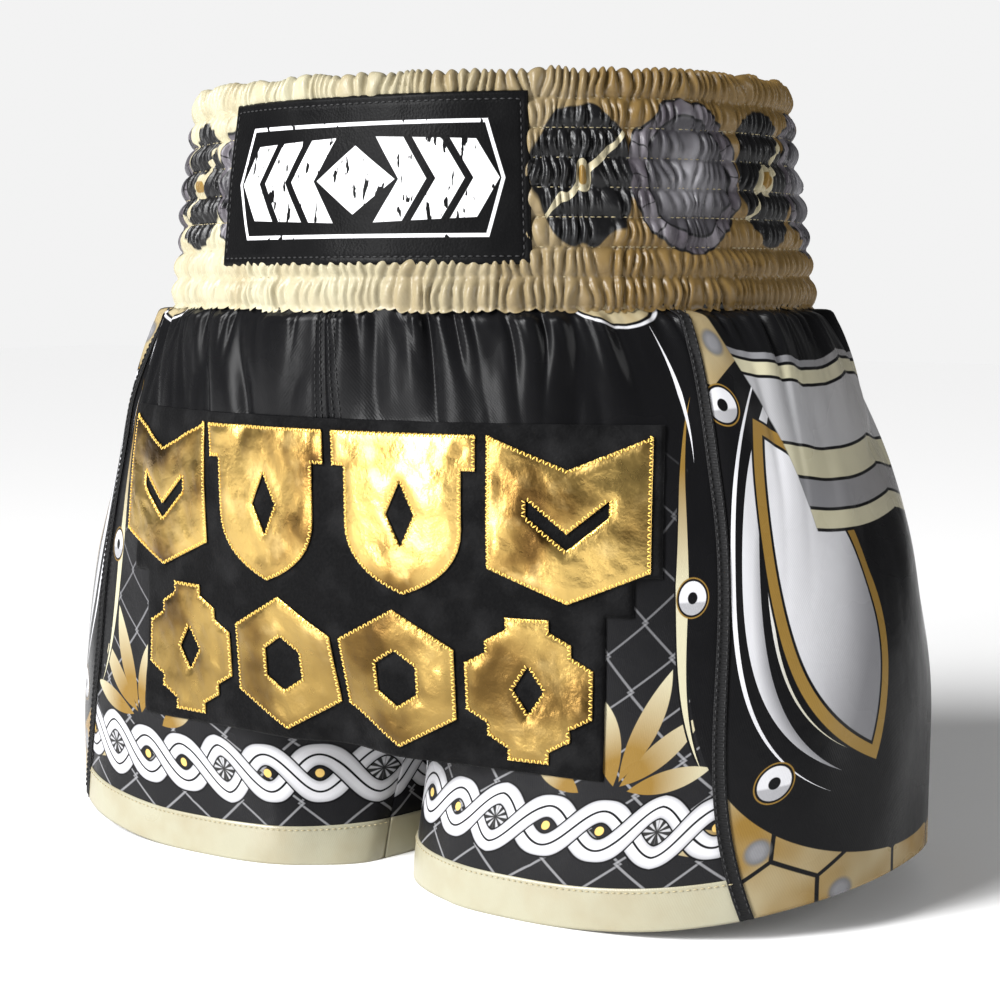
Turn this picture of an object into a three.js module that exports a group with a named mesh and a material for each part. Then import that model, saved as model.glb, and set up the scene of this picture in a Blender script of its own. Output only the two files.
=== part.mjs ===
// Muay Thai boxing shorts, standing open as they are worn.
// Millimetres, +Z up. The front faces -Y and the wearer's left is +X.
// The origin is on the hem plane, under the middle of the garment's box.
import * as THREE from "three";
import { TessellateModifier } from "three/addons/modifiers/TessellateModifier.js";

// ---- Driving dimensions -------------------------------------------------

const bodyLength = 269; // waist seam down to the front hem
const waistbandHeight = 102;
const waistTop = { halfWidth: 152, halfDepth: 120 };
const waistSeam = { halfWidth: 167, halfDepth: 130 };

const leg = {
  centreX: 94, // middle of each leg opening, out from the centre line
  centreY: -9,
  outerRadius: 139,
  depthRadius: 109,
  gap: 7, // between the two thighs
  squareness: { outer: 2.2, inner: 2.9 }, // 2 is an ellipse
};
const hemRise = 23; // how much higher the hem is at the outer side
const crotchHeight = 74;
const gussetHalfLength = 52; // along Y, at the crotch
const gussetHemAngle = 62; // degrees round the leg, from its front to the gusset

const sideSeam = 0.32; // share of the way round from the centre to the front side seam
const seamBow = 0.034; // how far the side seams swing towards the centre, halfway down
const seamSlant = 0.022; // how much further round they are at the hem
const frontTuck = 0.55; // share of the way down where the front starts to turn under
const seatTuck = 0.45;

const cloth = 1.2; // satin with its seam allowances and lining
const seamGap = 0.5; // between two sewn edges
const layerGap = 0.5; // under a piece that is sewn on top
const hemBandHeight = 19;
const tape = { width: 5, thickness: 0.6 };

const channels = 8;
const elastic = { thickness: 1.5, clearance: 0.45, rowGap: 2.4 };
const casingWall = 1.0;
const casingFold = 1.5; // how far the top edge rounds over

const label = { width: 164, bottomMargin: 18, topMargin: 10, offset: 13, thickness: 1.0 };

const foil = { thickness: 0.5, slot: 7 };
const backing = { margin: 5, thickness: 1.2, step: 12, sideMargin: 16 };
const upperRow = { drop: 55, height: 72, gap: 5 }; // drop is from the waist seam
const lowerRow = { height: 64, narrowing: 0.83, gap: 5, rowGap: 7 };

// ---- The body surface ---------------------------------------------------

const mix = THREE.MathUtils.lerp;
const radians = THREE.MathUtils.degToRad;
const signedPower = (value, power) => Math.sign(value) * Math.abs(value) ** power;

// A point of a superellipse; the angle runs from the front (-Y) towards +X.
function superellipse(halfWidth, halfDepth, squareness, angle) {
  return {
    x: halfWidth * signedPower(Math.sin(angle), 2 / squareness),
    y: -halfDepth * signedPower(Math.cos(angle), 2 / squareness),
  };
}

const tuckEnd = 1 - crotchHeight / bodyLength; // where the centre seam meets the gusset

// The whole body at a height, as if the two legs were one skirt.
function skirt(round, down) {
  const flare = 1 - (1 - down ** 0.8) ** 2;
  const hemHalfWidth = leg.centreX + leg.outerRadius;
  const halfWidth = mix(waistSeam.halfWidth, hemHalfWidth, flare);
  const halfDepth = mix(waistSeam.halfDepth, leg.depthRadius, down ** 1.5);
  const p = superellipse(halfWidth, halfDepth, mix(2, 2.4, down), Math.PI * round);
  p.y += leg.centreY * down;
  return p;
}

const hemAngle = (round) => radians(mix(-gussetHemAngle, 180 + gussetHemAngle, round));

// The leg opening, at an angle from its front round to the outer side.
function legOpening(angle) {
  const outward = Math.sin(angle) > 0;
  const halfWidth = outward ? leg.outerRadius : leg.centreX - leg.gap / 2;
  const squareness = outward ? leg.squareness.outer : leg.squareness.inner;
  const p = superellipse(halfWidth, leg.depthRadius, squareness, angle);
  return { x: leg.centreX + p.x, y: leg.centreY + p.y };
}

const hemHeight = (angle) => hemRise * Math.max(0, Math.sin(angle)) ** 2;

// The centre seam: straight down, then under to the gusset, then down the thigh.
function centreSeam(down, front) {
  const start = front ? frontTuck : seatTuck;
  const facing = front ? -1 : 1;
  const straight = skirt(front ? 0 : 1, Math.min(down, start));
  if (down <= start) return new THREE.Vector3(0, straight.y, bodyLength * (1 - down));
  if (down >= tuckEnd) return gussetPoint(front ? 0 : 1, (down - tuckEnd) / (1 - tuckEnd));
  const turn = ((down - start) / (tuckEnd - start)) * (Math.PI / 2);
  const tip = facing * gussetHalfLength;
  return new THREE.Vector3(
    0,
    tip + (straight.y - tip) * Math.cos(turn),
    mix(bodyLength * (1 - start), crotchHeight, Math.sin(turn)),
  );
}

// The gusset on the left thigh: across from front (0) to back (1), down from the crotch (0) to the hem (1).
function gussetPoint(across, down) {
  const angle = radians(mix(-gussetHemAngle, gussetHemAngle - 180, across));
  const hem = legOpening(angle);
  const crotchY = mix(-gussetHalfLength, gussetHalfLength, across);
  return new THREE.Vector3(
    hem.x * (1 - (1 - down) ** 3),
    mix(crotchY, hem.y, down),
    crotchHeight * (1 - down),
  );
}

// The left half of the body. round goes from the front centre seam (0) by the outer side (0.5) to the back (1).
// tucked is false for what spans the front in one piece and doesn't follow the turn under the crotch.
function bodyPoint(round, down, tucked = true) {
  const split = THREE.MathUtils.smoothstep(down, 0.3, 1);
  const angle = hemAngle(round);
  const blended = (at) => {
    const upper = skirt(at, down);
    const lower = legOpening(hemAngle(at));
    return new THREE.Vector3(
      mix(upper.x, lower.x, split),
      mix(upper.y, lower.y, split),
      mix(bodyLength, hemHeight(hemAngle(at)), down),
    );
  };
  const p = blended(round);
  p.z = mix(bodyLength, hemHeight(angle), down);
  const front = round < 0.5;
  const fromSeam = front ? round : 1 - round;
  const reach = Math.max(0, 1 - fromSeam / 0.2) ** 2;
  if (reach > 0) {
    const flat = skirt(front ? 0 : 1, down);
    const edge = tucked ? centreSeam(down, front) : new THREE.Vector3(0, flat.y, p.z);
    p.addScaledVector(edge.sub(blended(front ? 0 : 1)), reach);
  }
  return p;
}

// The waistband's outer face; the angle runs from the front towards +X.
function waistPoint(angle, z, offset = 0) {
  const up = (z - bodyLength) / waistbandHeight;
  const halfWidth = mix(waistSeam.halfWidth, waistTop.halfWidth, up);
  const halfDepth = mix(waistSeam.halfDepth, waistTop.halfDepth, up);
  const p = superellipse(halfWidth, halfDepth, 2, angle);
  const normal = new THREE.Vector2(p.x / halfWidth ** 2, p.y / halfDepth ** 2).normalize();
  return new THREE.Vector3(p.x + offset * normal.x, p.y + offset * normal.y, z);
}

// ---- Builders -----------------------------------------------------------

const garment = new THREE.Group();

function add(name, geometry, material) {
  const mesh = new THREE.Mesh(geometry, material);
  mesh.name = name;
  garment.add(mesh);
  return mesh;
}

// A piece of the wearer's left, and the same piece mirrored for the right.
function addPair(name, geometry, material) {
  add(`${name}_left`, geometry, material);
  add(`${name}_right`, geometry, material).scale.x = -1;
}

function finish(color, roughness, metalness = 0) {
  return new THREE.MeshStandardMaterial({ color, roughness, metalness });
}

// Moves every vertex of a geometry to where place() puts it.
function warp(geometry, place) {
  const position = geometry.attributes.position;
  const p = new THREE.Vector3();
  for (let i = 0; i < position.count; i += 1) {
    const moved = place(p.fromBufferAttribute(position, i));
    position.setXYZ(i, moved.x, moved.y, moved.z);
  }
  geometry.computeVertexNormals();
  return geometry;
}

function normalAt(surface, across, down) {
  const step = 1e-4;
  const a = Math.min(across, 1 - step);
  const d = Math.min(down, 1 - step);
  const p = surface(a, d);
  const right = surface(a + step, d).sub(p);
  const below = surface(a, d + step).sub(p);
  return below.cross(right).normalize();
}

// A sheet of cloth on a surface. Its outer face is lifted off the surface, and its thickness is below that.
// columns and rows are counts or lists of stops from 0 to 1. An upright sheet is thick only sideways.
function sheet(surface, columns, rows, thickness, { lift = 0, upright = false } = {}) {
  const stops = (n) => (Array.isArray(n) ? n : Array.from({ length: n + 1 }, (_, i) => i / n));
  const across = stops(columns);
  const down = stops(rows);
  const layer = across.length * down.length;
  const outer = [];
  const inner = [];
  for (const d of down) {
    for (const a of across) {
      const normal = normalAt(surface, a, d);
      if (upright) normal.setZ(0).normalize();
      const p = surface(a, d);
      outer.push(...p.clone().addScaledVector(normal, lift));
      inner.push(...p.addScaledVector(normal, lift - thickness));
    }
  }
  const index = [];
  const quad = (a, b, c, d) => index.push(a, b, d, b, c, d);
  const at = (i, j) => j * across.length + i;
  const lastColumn = across.length - 1;
  const lastRow = down.length - 1;
  for (let j = 0; j < lastRow; j += 1) {
    for (let i = 0; i < lastColumn; i += 1) {
      const corners = [at(i, j), at(i, j + 1), at(i + 1, j + 1), at(i + 1, j)];
      quad(...corners);
      const [a, b, c, d] = corners.map((n) => n + layer);
      index.push(b, a, d, c, b, d);
    }
  }
  const wall = (a, b) => quad(a, a + layer, b + layer, b);
  for (let i = 0; i < lastColumn; i += 1) {
    wall(at(i + 1, 0), at(i, 0));
    wall(at(i, lastRow), at(i + 1, lastRow));
  }
  for (let j = 0; j < lastRow; j += 1) {
    wall(at(0, j), at(0, j + 1));
    wall(at(lastColumn, j + 1), at(lastColumn, j));
  }
  const geometry = new THREE.BufferGeometry();
  geometry.setAttribute("position", new THREE.Float32BufferAttribute([...outer, ...inner], 3));
  geometry.setIndex(index);
  geometry.computeVertexNormals();
  return geometry;
}

// A part of the body between two seams and two levels; a level is a function of the way round.
// from and to are the share of the way round at a level.
function bodyPatch([from, to], topLevel, bottomLevel) {
  return (across, down) => {
    const atHem = mix(from(1), to(1), across);
    const level = mix(topLevel(atHem), bottomLevel(atHem), down);
    return bodyPoint(mix(from(level), to(level), across), level);
  };
}

// ---- Levels and seams ---------------------------------------------------

const seamLevel = () => seamGap / bodyLength;
const tapeTop = () => (2 * seamGap) / bodyLength;
const levelAbove = (height) => (round) =>
  1 - height / (bodyLength - hemHeight(hemAngle(round)));
const hemLevel = () => 1;
const bandTop = levelAbove(hemBandHeight);
const panelBottom = levelAbove(hemBandHeight + seamGap);

const bodyWidth = 520; // about the way round half of the body
const halfGap = seamGap / 2 / bodyWidth;
const frontSeam = (level) =>
  sideSeam + seamSlant * level ** 2 - seamBow * Math.sin(Math.PI * level);
const backSeam = (level) => 1 - frontSeam(level);
const beside = (seam, distance) => (level) => seam(level) + distance;
const frontSpan = [() => halfGap, beside(frontSeam, -halfGap)];
const sideSpan = [beside(frontSeam, halfGap), beside(backSeam, -halfGap)];
const backSpan = [beside(backSeam, halfGap), () => 1 - halfGap];

// ---- Finishes -----------------------------------------------------------

const printedSatin = finish(0x1a1a1c, 0.35);
const goldSatin = finish(0xc9b273, 0.35);
const sideSatin = finish(0x8f7238, 0.38);
const seamTape = finish(0x0c0c0d, 0.5);
const elasticWeb = finish(0xe6e2d8, 0.8);
const labelFinish = finish(0x131313, 0.45);
const velvet = finish(0x08080a, 0.9);
const goldFoil = finish(0xc39a3f, 0.25, 0.9);

// ---- Body panels, hem bands and seam tapes ------------------------------

// Rows down a front or back panel, with one at the level where the centre seam meets the gusset.
const rowsAbove = 11;
const rowsBelow = 4;
const meet = (tuckEnd - seamLevel()) / (panelBottom(0) - seamLevel());
const panelRows = [
  ...Array.from({ length: rowsAbove }, (_, i) => (meet * i) / rowsAbove),
  ...Array.from({ length: rowsBelow + 1 }, (_, i) => mix(meet, 1, i / rowsBelow)),
];
// The side panel has the same rows along the seams it shares, and one more down to the hem.
const bandShare = (panelBottom(sideSeam) - seamLevel()) / (1 - seamLevel());
const sideRows = [...panelRows.map((row) => row * bandShare), 1];

const frontPatch = bodyPatch(frontSpan, seamLevel, panelBottom);
const sidePatch = bodyPatch(sideSpan, seamLevel, hemLevel);
const backPatch = bodyPatch(backSpan, seamLevel, panelBottom);
addPair("front_panel", sheet(frontPatch, 12, panelRows, cloth), printedSatin);
addPair("side_panel", sheet(sidePatch, 10, sideRows, cloth), sideSatin);
addPair("back_panel", sheet(backPatch, 12, panelRows, cloth), printedSatin);

for (const [name, span] of [["front", frontSpan], ["back", backSpan]]) {
  const band = bodyPatch(span, bandTop, hemLevel);
  addPair(`hem_${name}`, sheet(band, 12, 1, cloth, { upright: true }), goldSatin);
}

const tapeHalf = tape.width / 2 / bodyWidth;
const tapeLift = layerGap + tape.thickness;
for (const [name, seam] of [["front", frontSeam], ["back", backSeam]]) {
  const strip = bodyPatch([beside(seam, -tapeHalf), beside(seam, tapeHalf)], tapeTop, hemLevel);
  addPair(`seam_tape_${name}`, sheet(strip, 1, 14, tape.thickness, { lift: tapeLift }), seamTape);
}

// ---- Gusset -------------------------------------------------------------

const gussetGap = seamGap / gussetHalfLength;
const gussetBandLevel = 1 - hemBandHeight / crotchHeight;
const gussetPanelLevel = gussetBandLevel - seamGap / crotchHeight;

function gussetPanel(across, down) {
  const way = mix(-gussetPanelLevel, gussetPanelLevel, across);
  const p = gussetPoint(mix(gussetGap, 1 - gussetGap, down), Math.abs(way));
  p.x *= Math.sign(way);
  return p;
}
add("crotch_gusset", sheet(gussetPanel, 16, 8, cloth), printedSatin);

// Seen from between the legs, so that its outer face looks into the gap.
const gussetBand = (across, down) =>
  gussetPoint(mix(1 - gussetGap, gussetGap, across), mix(gussetBandLevel, 1, down));
addPair("hem_gusset", sheet(gussetBand, 8, 1, cloth, { upright: true }), goldSatin);

// ---- Waistband ----------------------------------------------------------

const waistTopZ = bodyLength + waistbandHeight;
const ringSegments = 40;
const nominal = 100; // radius at which a ring's profile is turned before it is warped

// Turns a profile of [offset from the outer face, height] into an oval ring.
function ring(profile) {
  const points = profile.map(([offset, z]) => new THREE.Vector2(nominal + offset, z));
  points.push(points[0].clone());
  const turned = new THREE.LatheGeometry(points, ringSegments);
  return warp(turned, (v) => {
    const offset = Math.hypot(v.x, v.z) - nominal;
    return waistPoint(Math.atan2(v.x, v.z), v.y, offset);
  });
}

const pocket = elastic.thickness + 2 * elastic.clearance; // room between the casing's walls
const casingDepth = 2 * casingWall + pocket;
const pocketTop = waistTopZ - casingFold - casingWall;

add(
  "waistband_casing",
  ring([
    [0, bodyLength],
    [0, waistTopZ - casingFold],
    [-casingFold, waistTopZ],
    [casingFold - casingDepth, waistTopZ],
    [-casingDepth, waistTopZ - casingFold],
    [-casingDepth, bodyLength],
    [casingWall - casingDepth, bodyLength],
    [casingWall - casingDepth, pocketTop],
    [-casingWall, pocketTop],
    [-casingWall, bodyLength],
  ]),
  goldSatin,
);

const rowHeight = (pocketTop - bodyLength) / channels;
for (let row = 0; row < channels; row += 1) {
  const low = bodyLength + row * rowHeight + elastic.rowGap / 2;
  const high = low + rowHeight - elastic.rowGap;
  const outer = -casingWall - elastic.clearance;
  const inner = outer - elastic.thickness;
  const profile = [[outer, low], [outer, high], [inner, high], [inner, low]];
  add(`elastic_band_${row + 1}`, ring(profile), elasticWeb);
}

// ---- Label on the waistband's front -------------------------------------

const frontArc = (waistTop.halfWidth + waistSeam.halfWidth) / 2;
function labelSurface(across, down) {
  const angle = ((across - 0.5) * label.width + label.offset) / frontArc;
  const high = waistTopZ - label.topMargin;
  const low = bodyLength + label.bottomMargin;
  return waistPoint(angle, mix(high, low, down));
}
const labelLift = layerGap + label.thickness;
add("waist_label", sheet(labelSurface, 12, 2, label.thickness, { lift: labelLift }), labelFinish);

// ---- Applique on the front ----------------------------------------------

const untucked = (round, down) => bodyPoint(round, down, false);
const levelOf = (round, z) => (bodyLength - z) / (bodyLength - hemHeight(hemAngle(round)));
const atHeight = (round, z) => untucked(round, levelOf(round, z));

// A point of the front, by its distance round from the centre line and its height.
function frontPoint(distance, z, lift = 0) {
  const step = 0.01;
  let left = Math.abs(distance);
  let round = 0;
  let length = atHeight(step, z).distanceTo(atHeight(0, z));
  while (left > length) {
    left -= length;
    round += step;
    length = atHeight(round + step, z).distanceTo(atHeight(round, z));
  }
  round += (step * left) / length;
  const normal = normalAt(untucked, Math.max(round, 1e-3), levelOf(round, z));
  const p = atHeight(round, z).addScaledVector(normal, lift);
  if (distance < 0) p.x = -p.x;
  return p;
}

// A flat shape, x along the front and y up, laid on the front at a lift.
function laidOn(shape, thickness, lift, edgeLength) {
  const flat = new THREE.ExtrudeGeometry(shape, { depth: thickness, bevelEnabled: false, curveSegments: 8 });
  const fine = new TessellateModifier(edgeLength, 8).modify(flat);
  return warp(fine, (v) => frontPoint(v.x, v.y, lift + v.z));
}

function outline(points) {
  return new THREE.Shape(points.map(([x, y]) => new THREE.Vector2(x, y)));
}

// How far round the front the side seam is from the centre line, at a height.
function distanceToSeam(z) {
  const steps = 40;
  const end = frontSeam(1 - z / bodyLength);
  let length = 0;
  for (let i = 0; i < steps; i += 1) {
    const here = atHeight((end * i) / steps, z);
    length += here.distanceTo(atHeight((end * (i + 1)) / steps, z));
  }
  return length;
}

const upperTop = bodyLength - upperRow.drop;
const upperBottom = upperTop - upperRow.height;
const lowerTop = upperBottom - lowerRow.rowGap;
const lowerBottom = lowerTop - lowerRow.height;
const upperHalf = distanceToSeam(upperTop) - backing.sideMargin - backing.margin;
upperRow.blockWidth = (upperHalf - 1.5 * upperRow.gap) / 2;
lowerRow.blockWidth = upperRow.blockWidth * lowerRow.narrowing;
const rowHalfWidth = (row) => 2 * row.blockWidth + 1.5 * row.gap;

const upperEdge = rowHalfWidth(upperRow) + backing.margin;
const lowerEdge = rowHalfWidth(lowerRow) + backing.margin;
const backingShape = outline([
  [-lowerEdge, lowerBottom - backing.margin],
  [lowerEdge, lowerBottom - backing.margin],
  [lowerEdge, upperBottom - backing.margin],
  [upperEdge - backing.step, upperBottom - backing.margin],
  [upperEdge - backing.step, upperBottom + backing.step],
  [upperEdge, upperBottom + backing.step],
  [upperEdge, upperTop + backing.margin],
  [-upperEdge, upperTop + backing.margin],
  [-upperEdge, upperBottom + backing.step],
  [backing.step - upperEdge, upperBottom + backing.step],
  [backing.step - upperEdge, upperBottom - backing.margin],
  [-lowerEdge, upperBottom - backing.margin],
]);
add("applique_backing", laidOn(backingShape, backing.thickness, layerGap, 26), velvet);

// Foil blocks, each drawn about its own middle, width w and height h.

function bannerBlock(w, h) {
  const notch = h * 0.2;
  const shape = outline([
    [-w / 2, h / 2], [-w / 2, notch - h / 2], [0, -h / 2], [w / 2, notch - h / 2],
    [w / 2, h / 2], [0, h / 2 - notch],
  ]);
  const slot = outline([
    [-w / 4, h * 0.12], [0, h * 0.12 - notch], [w / 4, h * 0.12],
    [w / 4, h * 0.12 - foil.slot], [0, h * 0.12 - foil.slot - notch], [-w / 4, h * 0.12 - foil.slot],
  ]);
  shape.holes.push(slot);
  return shape;
}

function shieldBlock(w, h) {
  const shoulder = h * 0.22;
  const inset = w * 0.09;
  const shape = new THREE.Shape();
  shape.moveTo(-w / 2, h / 2);
  shape.lineTo(-w / 2, h / 2 - shoulder);
  shape.lineTo(inset - w / 2, h / 2 - shoulder);
  shape.lineTo(inset - w / 2, -h * 0.08);
  shape.quadraticCurveTo(inset - w / 2, -h * 0.36, 0, -h / 2);
  shape.quadraticCurveTo(w / 2 - inset, -h * 0.36, w / 2 - inset, -h * 0.08);
  shape.lineTo(w / 2 - inset, h / 2 - shoulder);
  shape.lineTo(w / 2, h / 2 - shoulder);
  shape.lineTo(w / 2, h / 2);
  const slotHalf = h * 0.2;
  shape.holes.push(outline([[0, slotHalf], [foil.slot, 0], [0, -slotHalf], [-foil.slot, 0]]));
  return shape;
}

function regular(corners, radius, squeeze, turn) {
  return outline(
    Array.from({ length: corners }, (_, i) => {
      const angle = turn + (2 * Math.PI * i) / corners;
      return [radius(i) * Math.cos(angle) * squeeze, radius(i) * Math.sin(angle)];
    }),
  );
}

// A diamond with a stepped outline.
function steppedBlock(w, h) {
  const steps = 3;
  const corner = [];
  for (let k = 0; k < steps; k += 1) {
    const x = (w / 2) * (1 - k / steps);
    corner.push([x, (h / 2) * (k / steps) + h / 12], [x, (h / 2) * ((k + 1) / steps)]);
  }
  corner[0][1] = 0;
  const quarter = corner.slice(1);
  const turned = quarter.map(([x, y]) => [-x, y]).reverse();
  const upper = [...quarter, ...turned];
  const shape = outline([...upper, ...upper.map(([x, y]) => [-x, -y])]);
  const r = foil.slot;
  shape.holes.push(outline([[r, 0], [0, 1.5 * r], [-r, 0], [0, -1.5 * r]]));
  return shape;
}

function hexagonBlock(w, h) {
  const shape = regular(6, () => h / 2, w / h / Math.cos(Math.PI / 6), Math.PI / 2);
  shape.holes.push(regular(6, () => h / 5, w / h, Math.PI / 2));
  return shape;
}

const foilLift = layerGap + backing.thickness + layerGap;
const places = [
  ["outer_right", -1.5],
  ["inner_right", -0.5],
  ["inner_left", 0.5],
  ["outer_left", 1.5],
];
const foilRows = [
  ["upper", upperRow, upperBottom + upperRow.height / 2, bannerBlock, shieldBlock],
  ["lower", lowerRow, lowerBottom + lowerRow.height / 2, steppedBlock, hexagonBlock],
];
for (const [rowName, row, middle, outerBlock, innerBlock] of foilRows) {
  for (const [placeName, place] of places) {
    const block = Math.abs(place) > 1 ? outerBlock : innerBlock;
    const centre = place * (row.blockWidth + row.gap);
    const shape = block(row.blockWidth, row.height);
    const shift = (v) => new THREE.Vector2(v.x + centre, v.y + middle);
    const { shape: rim, holes } = shape.extractPoints(8);
    const placed = new THREE.Shape(rim.map(shift));
    placed.holes = holes.map((hole) => new THREE.Path(hole.map(shift)));
    add(`foil_${rowName}_${placeName}`, laidOn(placed, foil.thickness, foilLift, 24), goldFoil);
  }
}

// The origin goes under the middle of the whole garment's box.
const whole = new THREE.Box3().setFromObject(garment);
garment.position.y = -(whole.min.y + whole.max.y) / 2;

export default garment;
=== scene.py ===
import math

import bmesh
import bpy
import numpy as np
from bpy.props import FloatProperty, FloatVectorProperty, IntProperty, PointerProperty
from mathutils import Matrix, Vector


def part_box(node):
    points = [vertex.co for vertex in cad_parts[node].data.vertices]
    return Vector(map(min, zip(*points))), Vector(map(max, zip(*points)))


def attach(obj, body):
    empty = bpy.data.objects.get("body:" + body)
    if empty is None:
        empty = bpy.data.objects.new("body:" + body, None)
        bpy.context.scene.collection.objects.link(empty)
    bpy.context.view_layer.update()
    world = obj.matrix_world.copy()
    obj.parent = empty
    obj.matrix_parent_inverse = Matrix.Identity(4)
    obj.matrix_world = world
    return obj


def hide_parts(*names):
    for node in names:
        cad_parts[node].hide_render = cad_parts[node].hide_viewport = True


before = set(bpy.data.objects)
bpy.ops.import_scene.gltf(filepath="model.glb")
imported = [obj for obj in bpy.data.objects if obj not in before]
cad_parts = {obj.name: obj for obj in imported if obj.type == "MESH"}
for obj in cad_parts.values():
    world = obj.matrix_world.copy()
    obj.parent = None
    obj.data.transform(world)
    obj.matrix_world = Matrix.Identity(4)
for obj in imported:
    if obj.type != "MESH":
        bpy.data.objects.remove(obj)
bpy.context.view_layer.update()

bl_info = {
    "name": "Boxing shorts",
    "version": (1, 0, 0),
    "blender": (4, 5, 0),
    "location": "3D View > Sidebar > Shorts",
    "description": "Sews satin boxing shorts round their CAD frame",
    "category": "Mesh",
}

casing_low, casing_high = (tuple(corner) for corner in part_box("waistband_casing"))

BODY_LENGTH = casing_low[2]  # the hems are on the floor
TOP_Z = casing_high[2]
SHIFT_Y = (casing_low[1] + casing_high[1]) / 2
WAIST_HALF_WIDTH = casing_high[0]
WAIST_HALF_DEPTH = (casing_high[1] - casing_low[1]) / 2
HALF_ROUND = 0.52  # metres round half of the body, where a share of it is wanted as a length
SIDES = (("left", 1), ("right", -1))
TABLES = {}  # measured once and kept

# Thicknesses in metres
PANEL_CLOTH = 0.0005
HEM_FOLD = 0.0014
INNER_HEM_FOLD = 0.0012
TAPE = 0.0006
TAPE_HALF_WIDTH = 0.0025
LABEL_HIDE = 0.0014
VELVET = 0.0012
FOIL = 0.0007


# ---- Sizes and colours a user would change ------------------------------


def length(value, name, description):
    return FloatProperty(name=name, description=description, default=value, subtype="DISTANCE", unit="LENGTH")


def share(value, name, description):
    return FloatProperty(name=name, description=description, default=value, min=0, max=1)


def colour(value, name, description):
    return FloatVectorProperty(
        name=name, description=description, default=value, size=3, subtype="COLOR", min=0, max=1
    )


def degrees(value, name, description):
    return FloatProperty(name=name, description=description, default=math.radians(value), subtype="ANGLE")


class ShortsBody(bpy.types.PropertyGroup):
    top_half_width: length(0.152, "Top half width", "Half the waistband's width at its top edge")
    top_half_depth: length(0.120, "Top half depth", "Half the waistband's depth at its top edge")
    leg_x: length(0.094, "Leg centre X", "Middle of each leg opening, out from the centre line")
    leg_y: length(-0.009, "Leg centre Y", "Middle of each leg opening, front to back")
    leg_outer: length(0.139, "Leg outer radius", "From the middle of a leg opening to its outer side")
    leg_depth: length(0.109, "Leg depth radius", "From the middle of a leg opening to its front")
    leg_gap: length(0.007, "Leg gap", "Between the two thighs at the hem")
    hem_rise: length(0.023, "Hem rise", "How much higher the hem is at its outer side")
    crotch: length(0.074, "Crotch height", "From the hem plane up to the gusset")
    gusset_half: length(0.052, "Gusset half length", "Half the gusset's length at the crotch")
    gusset_angle: degrees(62, "Gusset angle", "Round the leg, from its front to the gusset")
    side_seam: share(0.32, "Side seam", "Share of the way round to the front side seam")
    seam_bow: share(0.034, "Seam bow", "How far the side seams swing forward, halfway down")
    seam_slant: share(0.022, "Seam slant", "How much further round the side seams are at the hem")
    front_tuck: share(0.55, "Front tuck", "Share of the way down where the front turns under")
    seat_tuck: share(0.45, "Seat tuck", "Share of the way down where the seat turns under")
    hem_band: length(0.019, "Hem band", "Height of the gold band along each hem")
    gather_depth: length(0.0032, "Gather depth", "Depth of the gathers under the waistband")
    fold_depth: length(0.0042, "Fold depth", "Depth of the soft folds lower down")


class ShortsWaist(bpy.types.PropertyGroup):
    channels: IntProperty(name="Channels", description="Rows of elastic in the waistband", default=8, min=1)
    pucker_pitch: length(0.0047, "Pucker pitch", "Distance from one pucker to the next")
    pucker_depth: length(0.0030, "Pucker depth", "How deep the puckers are")
    puff: length(0.0030, "Channel puff", "How far the satin stands out over each elastic")
    label_inset: length(0.0035, "Label stitch inset", "From the label's edge to its stitching")


class ShortsApplique(bpy.types.PropertyGroup):
    row_drop: length(0.055, "Row drop", "From the waist seam to the upper blocks")
    upper_height: length(0.072, "Upper block height", "Height of the upper row of blocks")
    lower_height: length(0.064, "Lower block height", "Height of the lower row of blocks")
    row_gap: length(0.007, "Row gap", "Between the two rows")
    block_gap: length(0.005, "Block gap", "Between two blocks of a row")
    upper_width: length(0.0717, "Upper block width", "Width of an upper block")
    narrowing: share(0.83, "Narrowing", "Width of a lower block as a share of an upper one")
    margin: length(0.005, "Backing margin", "How far the velvet shows past the blocks")
    step: length(0.012, "Backing step", "Step in the velvet's outline between the rows")
    slot: length(0.007, "Slot", "Width of the slots in the blocks")
    stitch_pitch: length(0.0015, "Stitch pitch", "Distance between the stitches on the foil's edge")


class ShortsColours(bpy.types.PropertyGroup):
    black: colour((0.0045, 0.0045, 0.005), "Black", "Black satin")
    charcoal: colour((0.010, 0.010, 0.011), "Charcoal", "Lower ground of the printed satin")
    pale_gold: colour((0.395, 0.370, 0.260), "Pale gold", "Waistband and hem satin")
    deep_gold: colour((0.185, 0.110, 0.025), "Deep gold", "Shaded gold of the prints")
    silver: colour((0.48, 0.48, 0.50), "Silver", "Lightest print colour")
    grey: colour((0.17, 0.17, 0.18), "Grey", "Middle print colour")
    foil: colour((0.56, 0.38, 0.12), "Foil", "Gold foil")
    thread: colour((0.88, 0.56, 0.09), "Thread", "Gold thread")


class ShortsStage(bpy.types.PropertyGroup):
    azimuth: degrees(32.4, "Azimuth", "Camera round the object")
    distance: length(0.965, "Distance", "Camera's distance from the object's axis")
    height: length(0.2774, "Height", "Camera's height")
    lens: FloatProperty(name="Lens", description="Focal length in millimetres", default=68.8)
    aim: length(0.1698, "Aim", "Height the camera looks at")


# ---- The body surface ---------------------------------------------------


def sizes():
    return bpy.context.scene.shorts_body


def ramp(value, low, high):
    t = np.clip((value - low) / (high - low), 0, 1)
    return t * t * (3 - 2 * t)


def mix(a, b, t):
    return a + (b - a) * t


def superellipse(half_width, half_depth, squareness, angle):
    """A point of a superellipse; the angle runs from the front towards +X."""
    s, c = np.sin(angle), np.cos(angle)
    power = 2 / squareness
    return half_width * np.sign(s) * np.abs(s) ** power, -half_depth * np.sign(c) * np.abs(c) ** power


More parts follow.
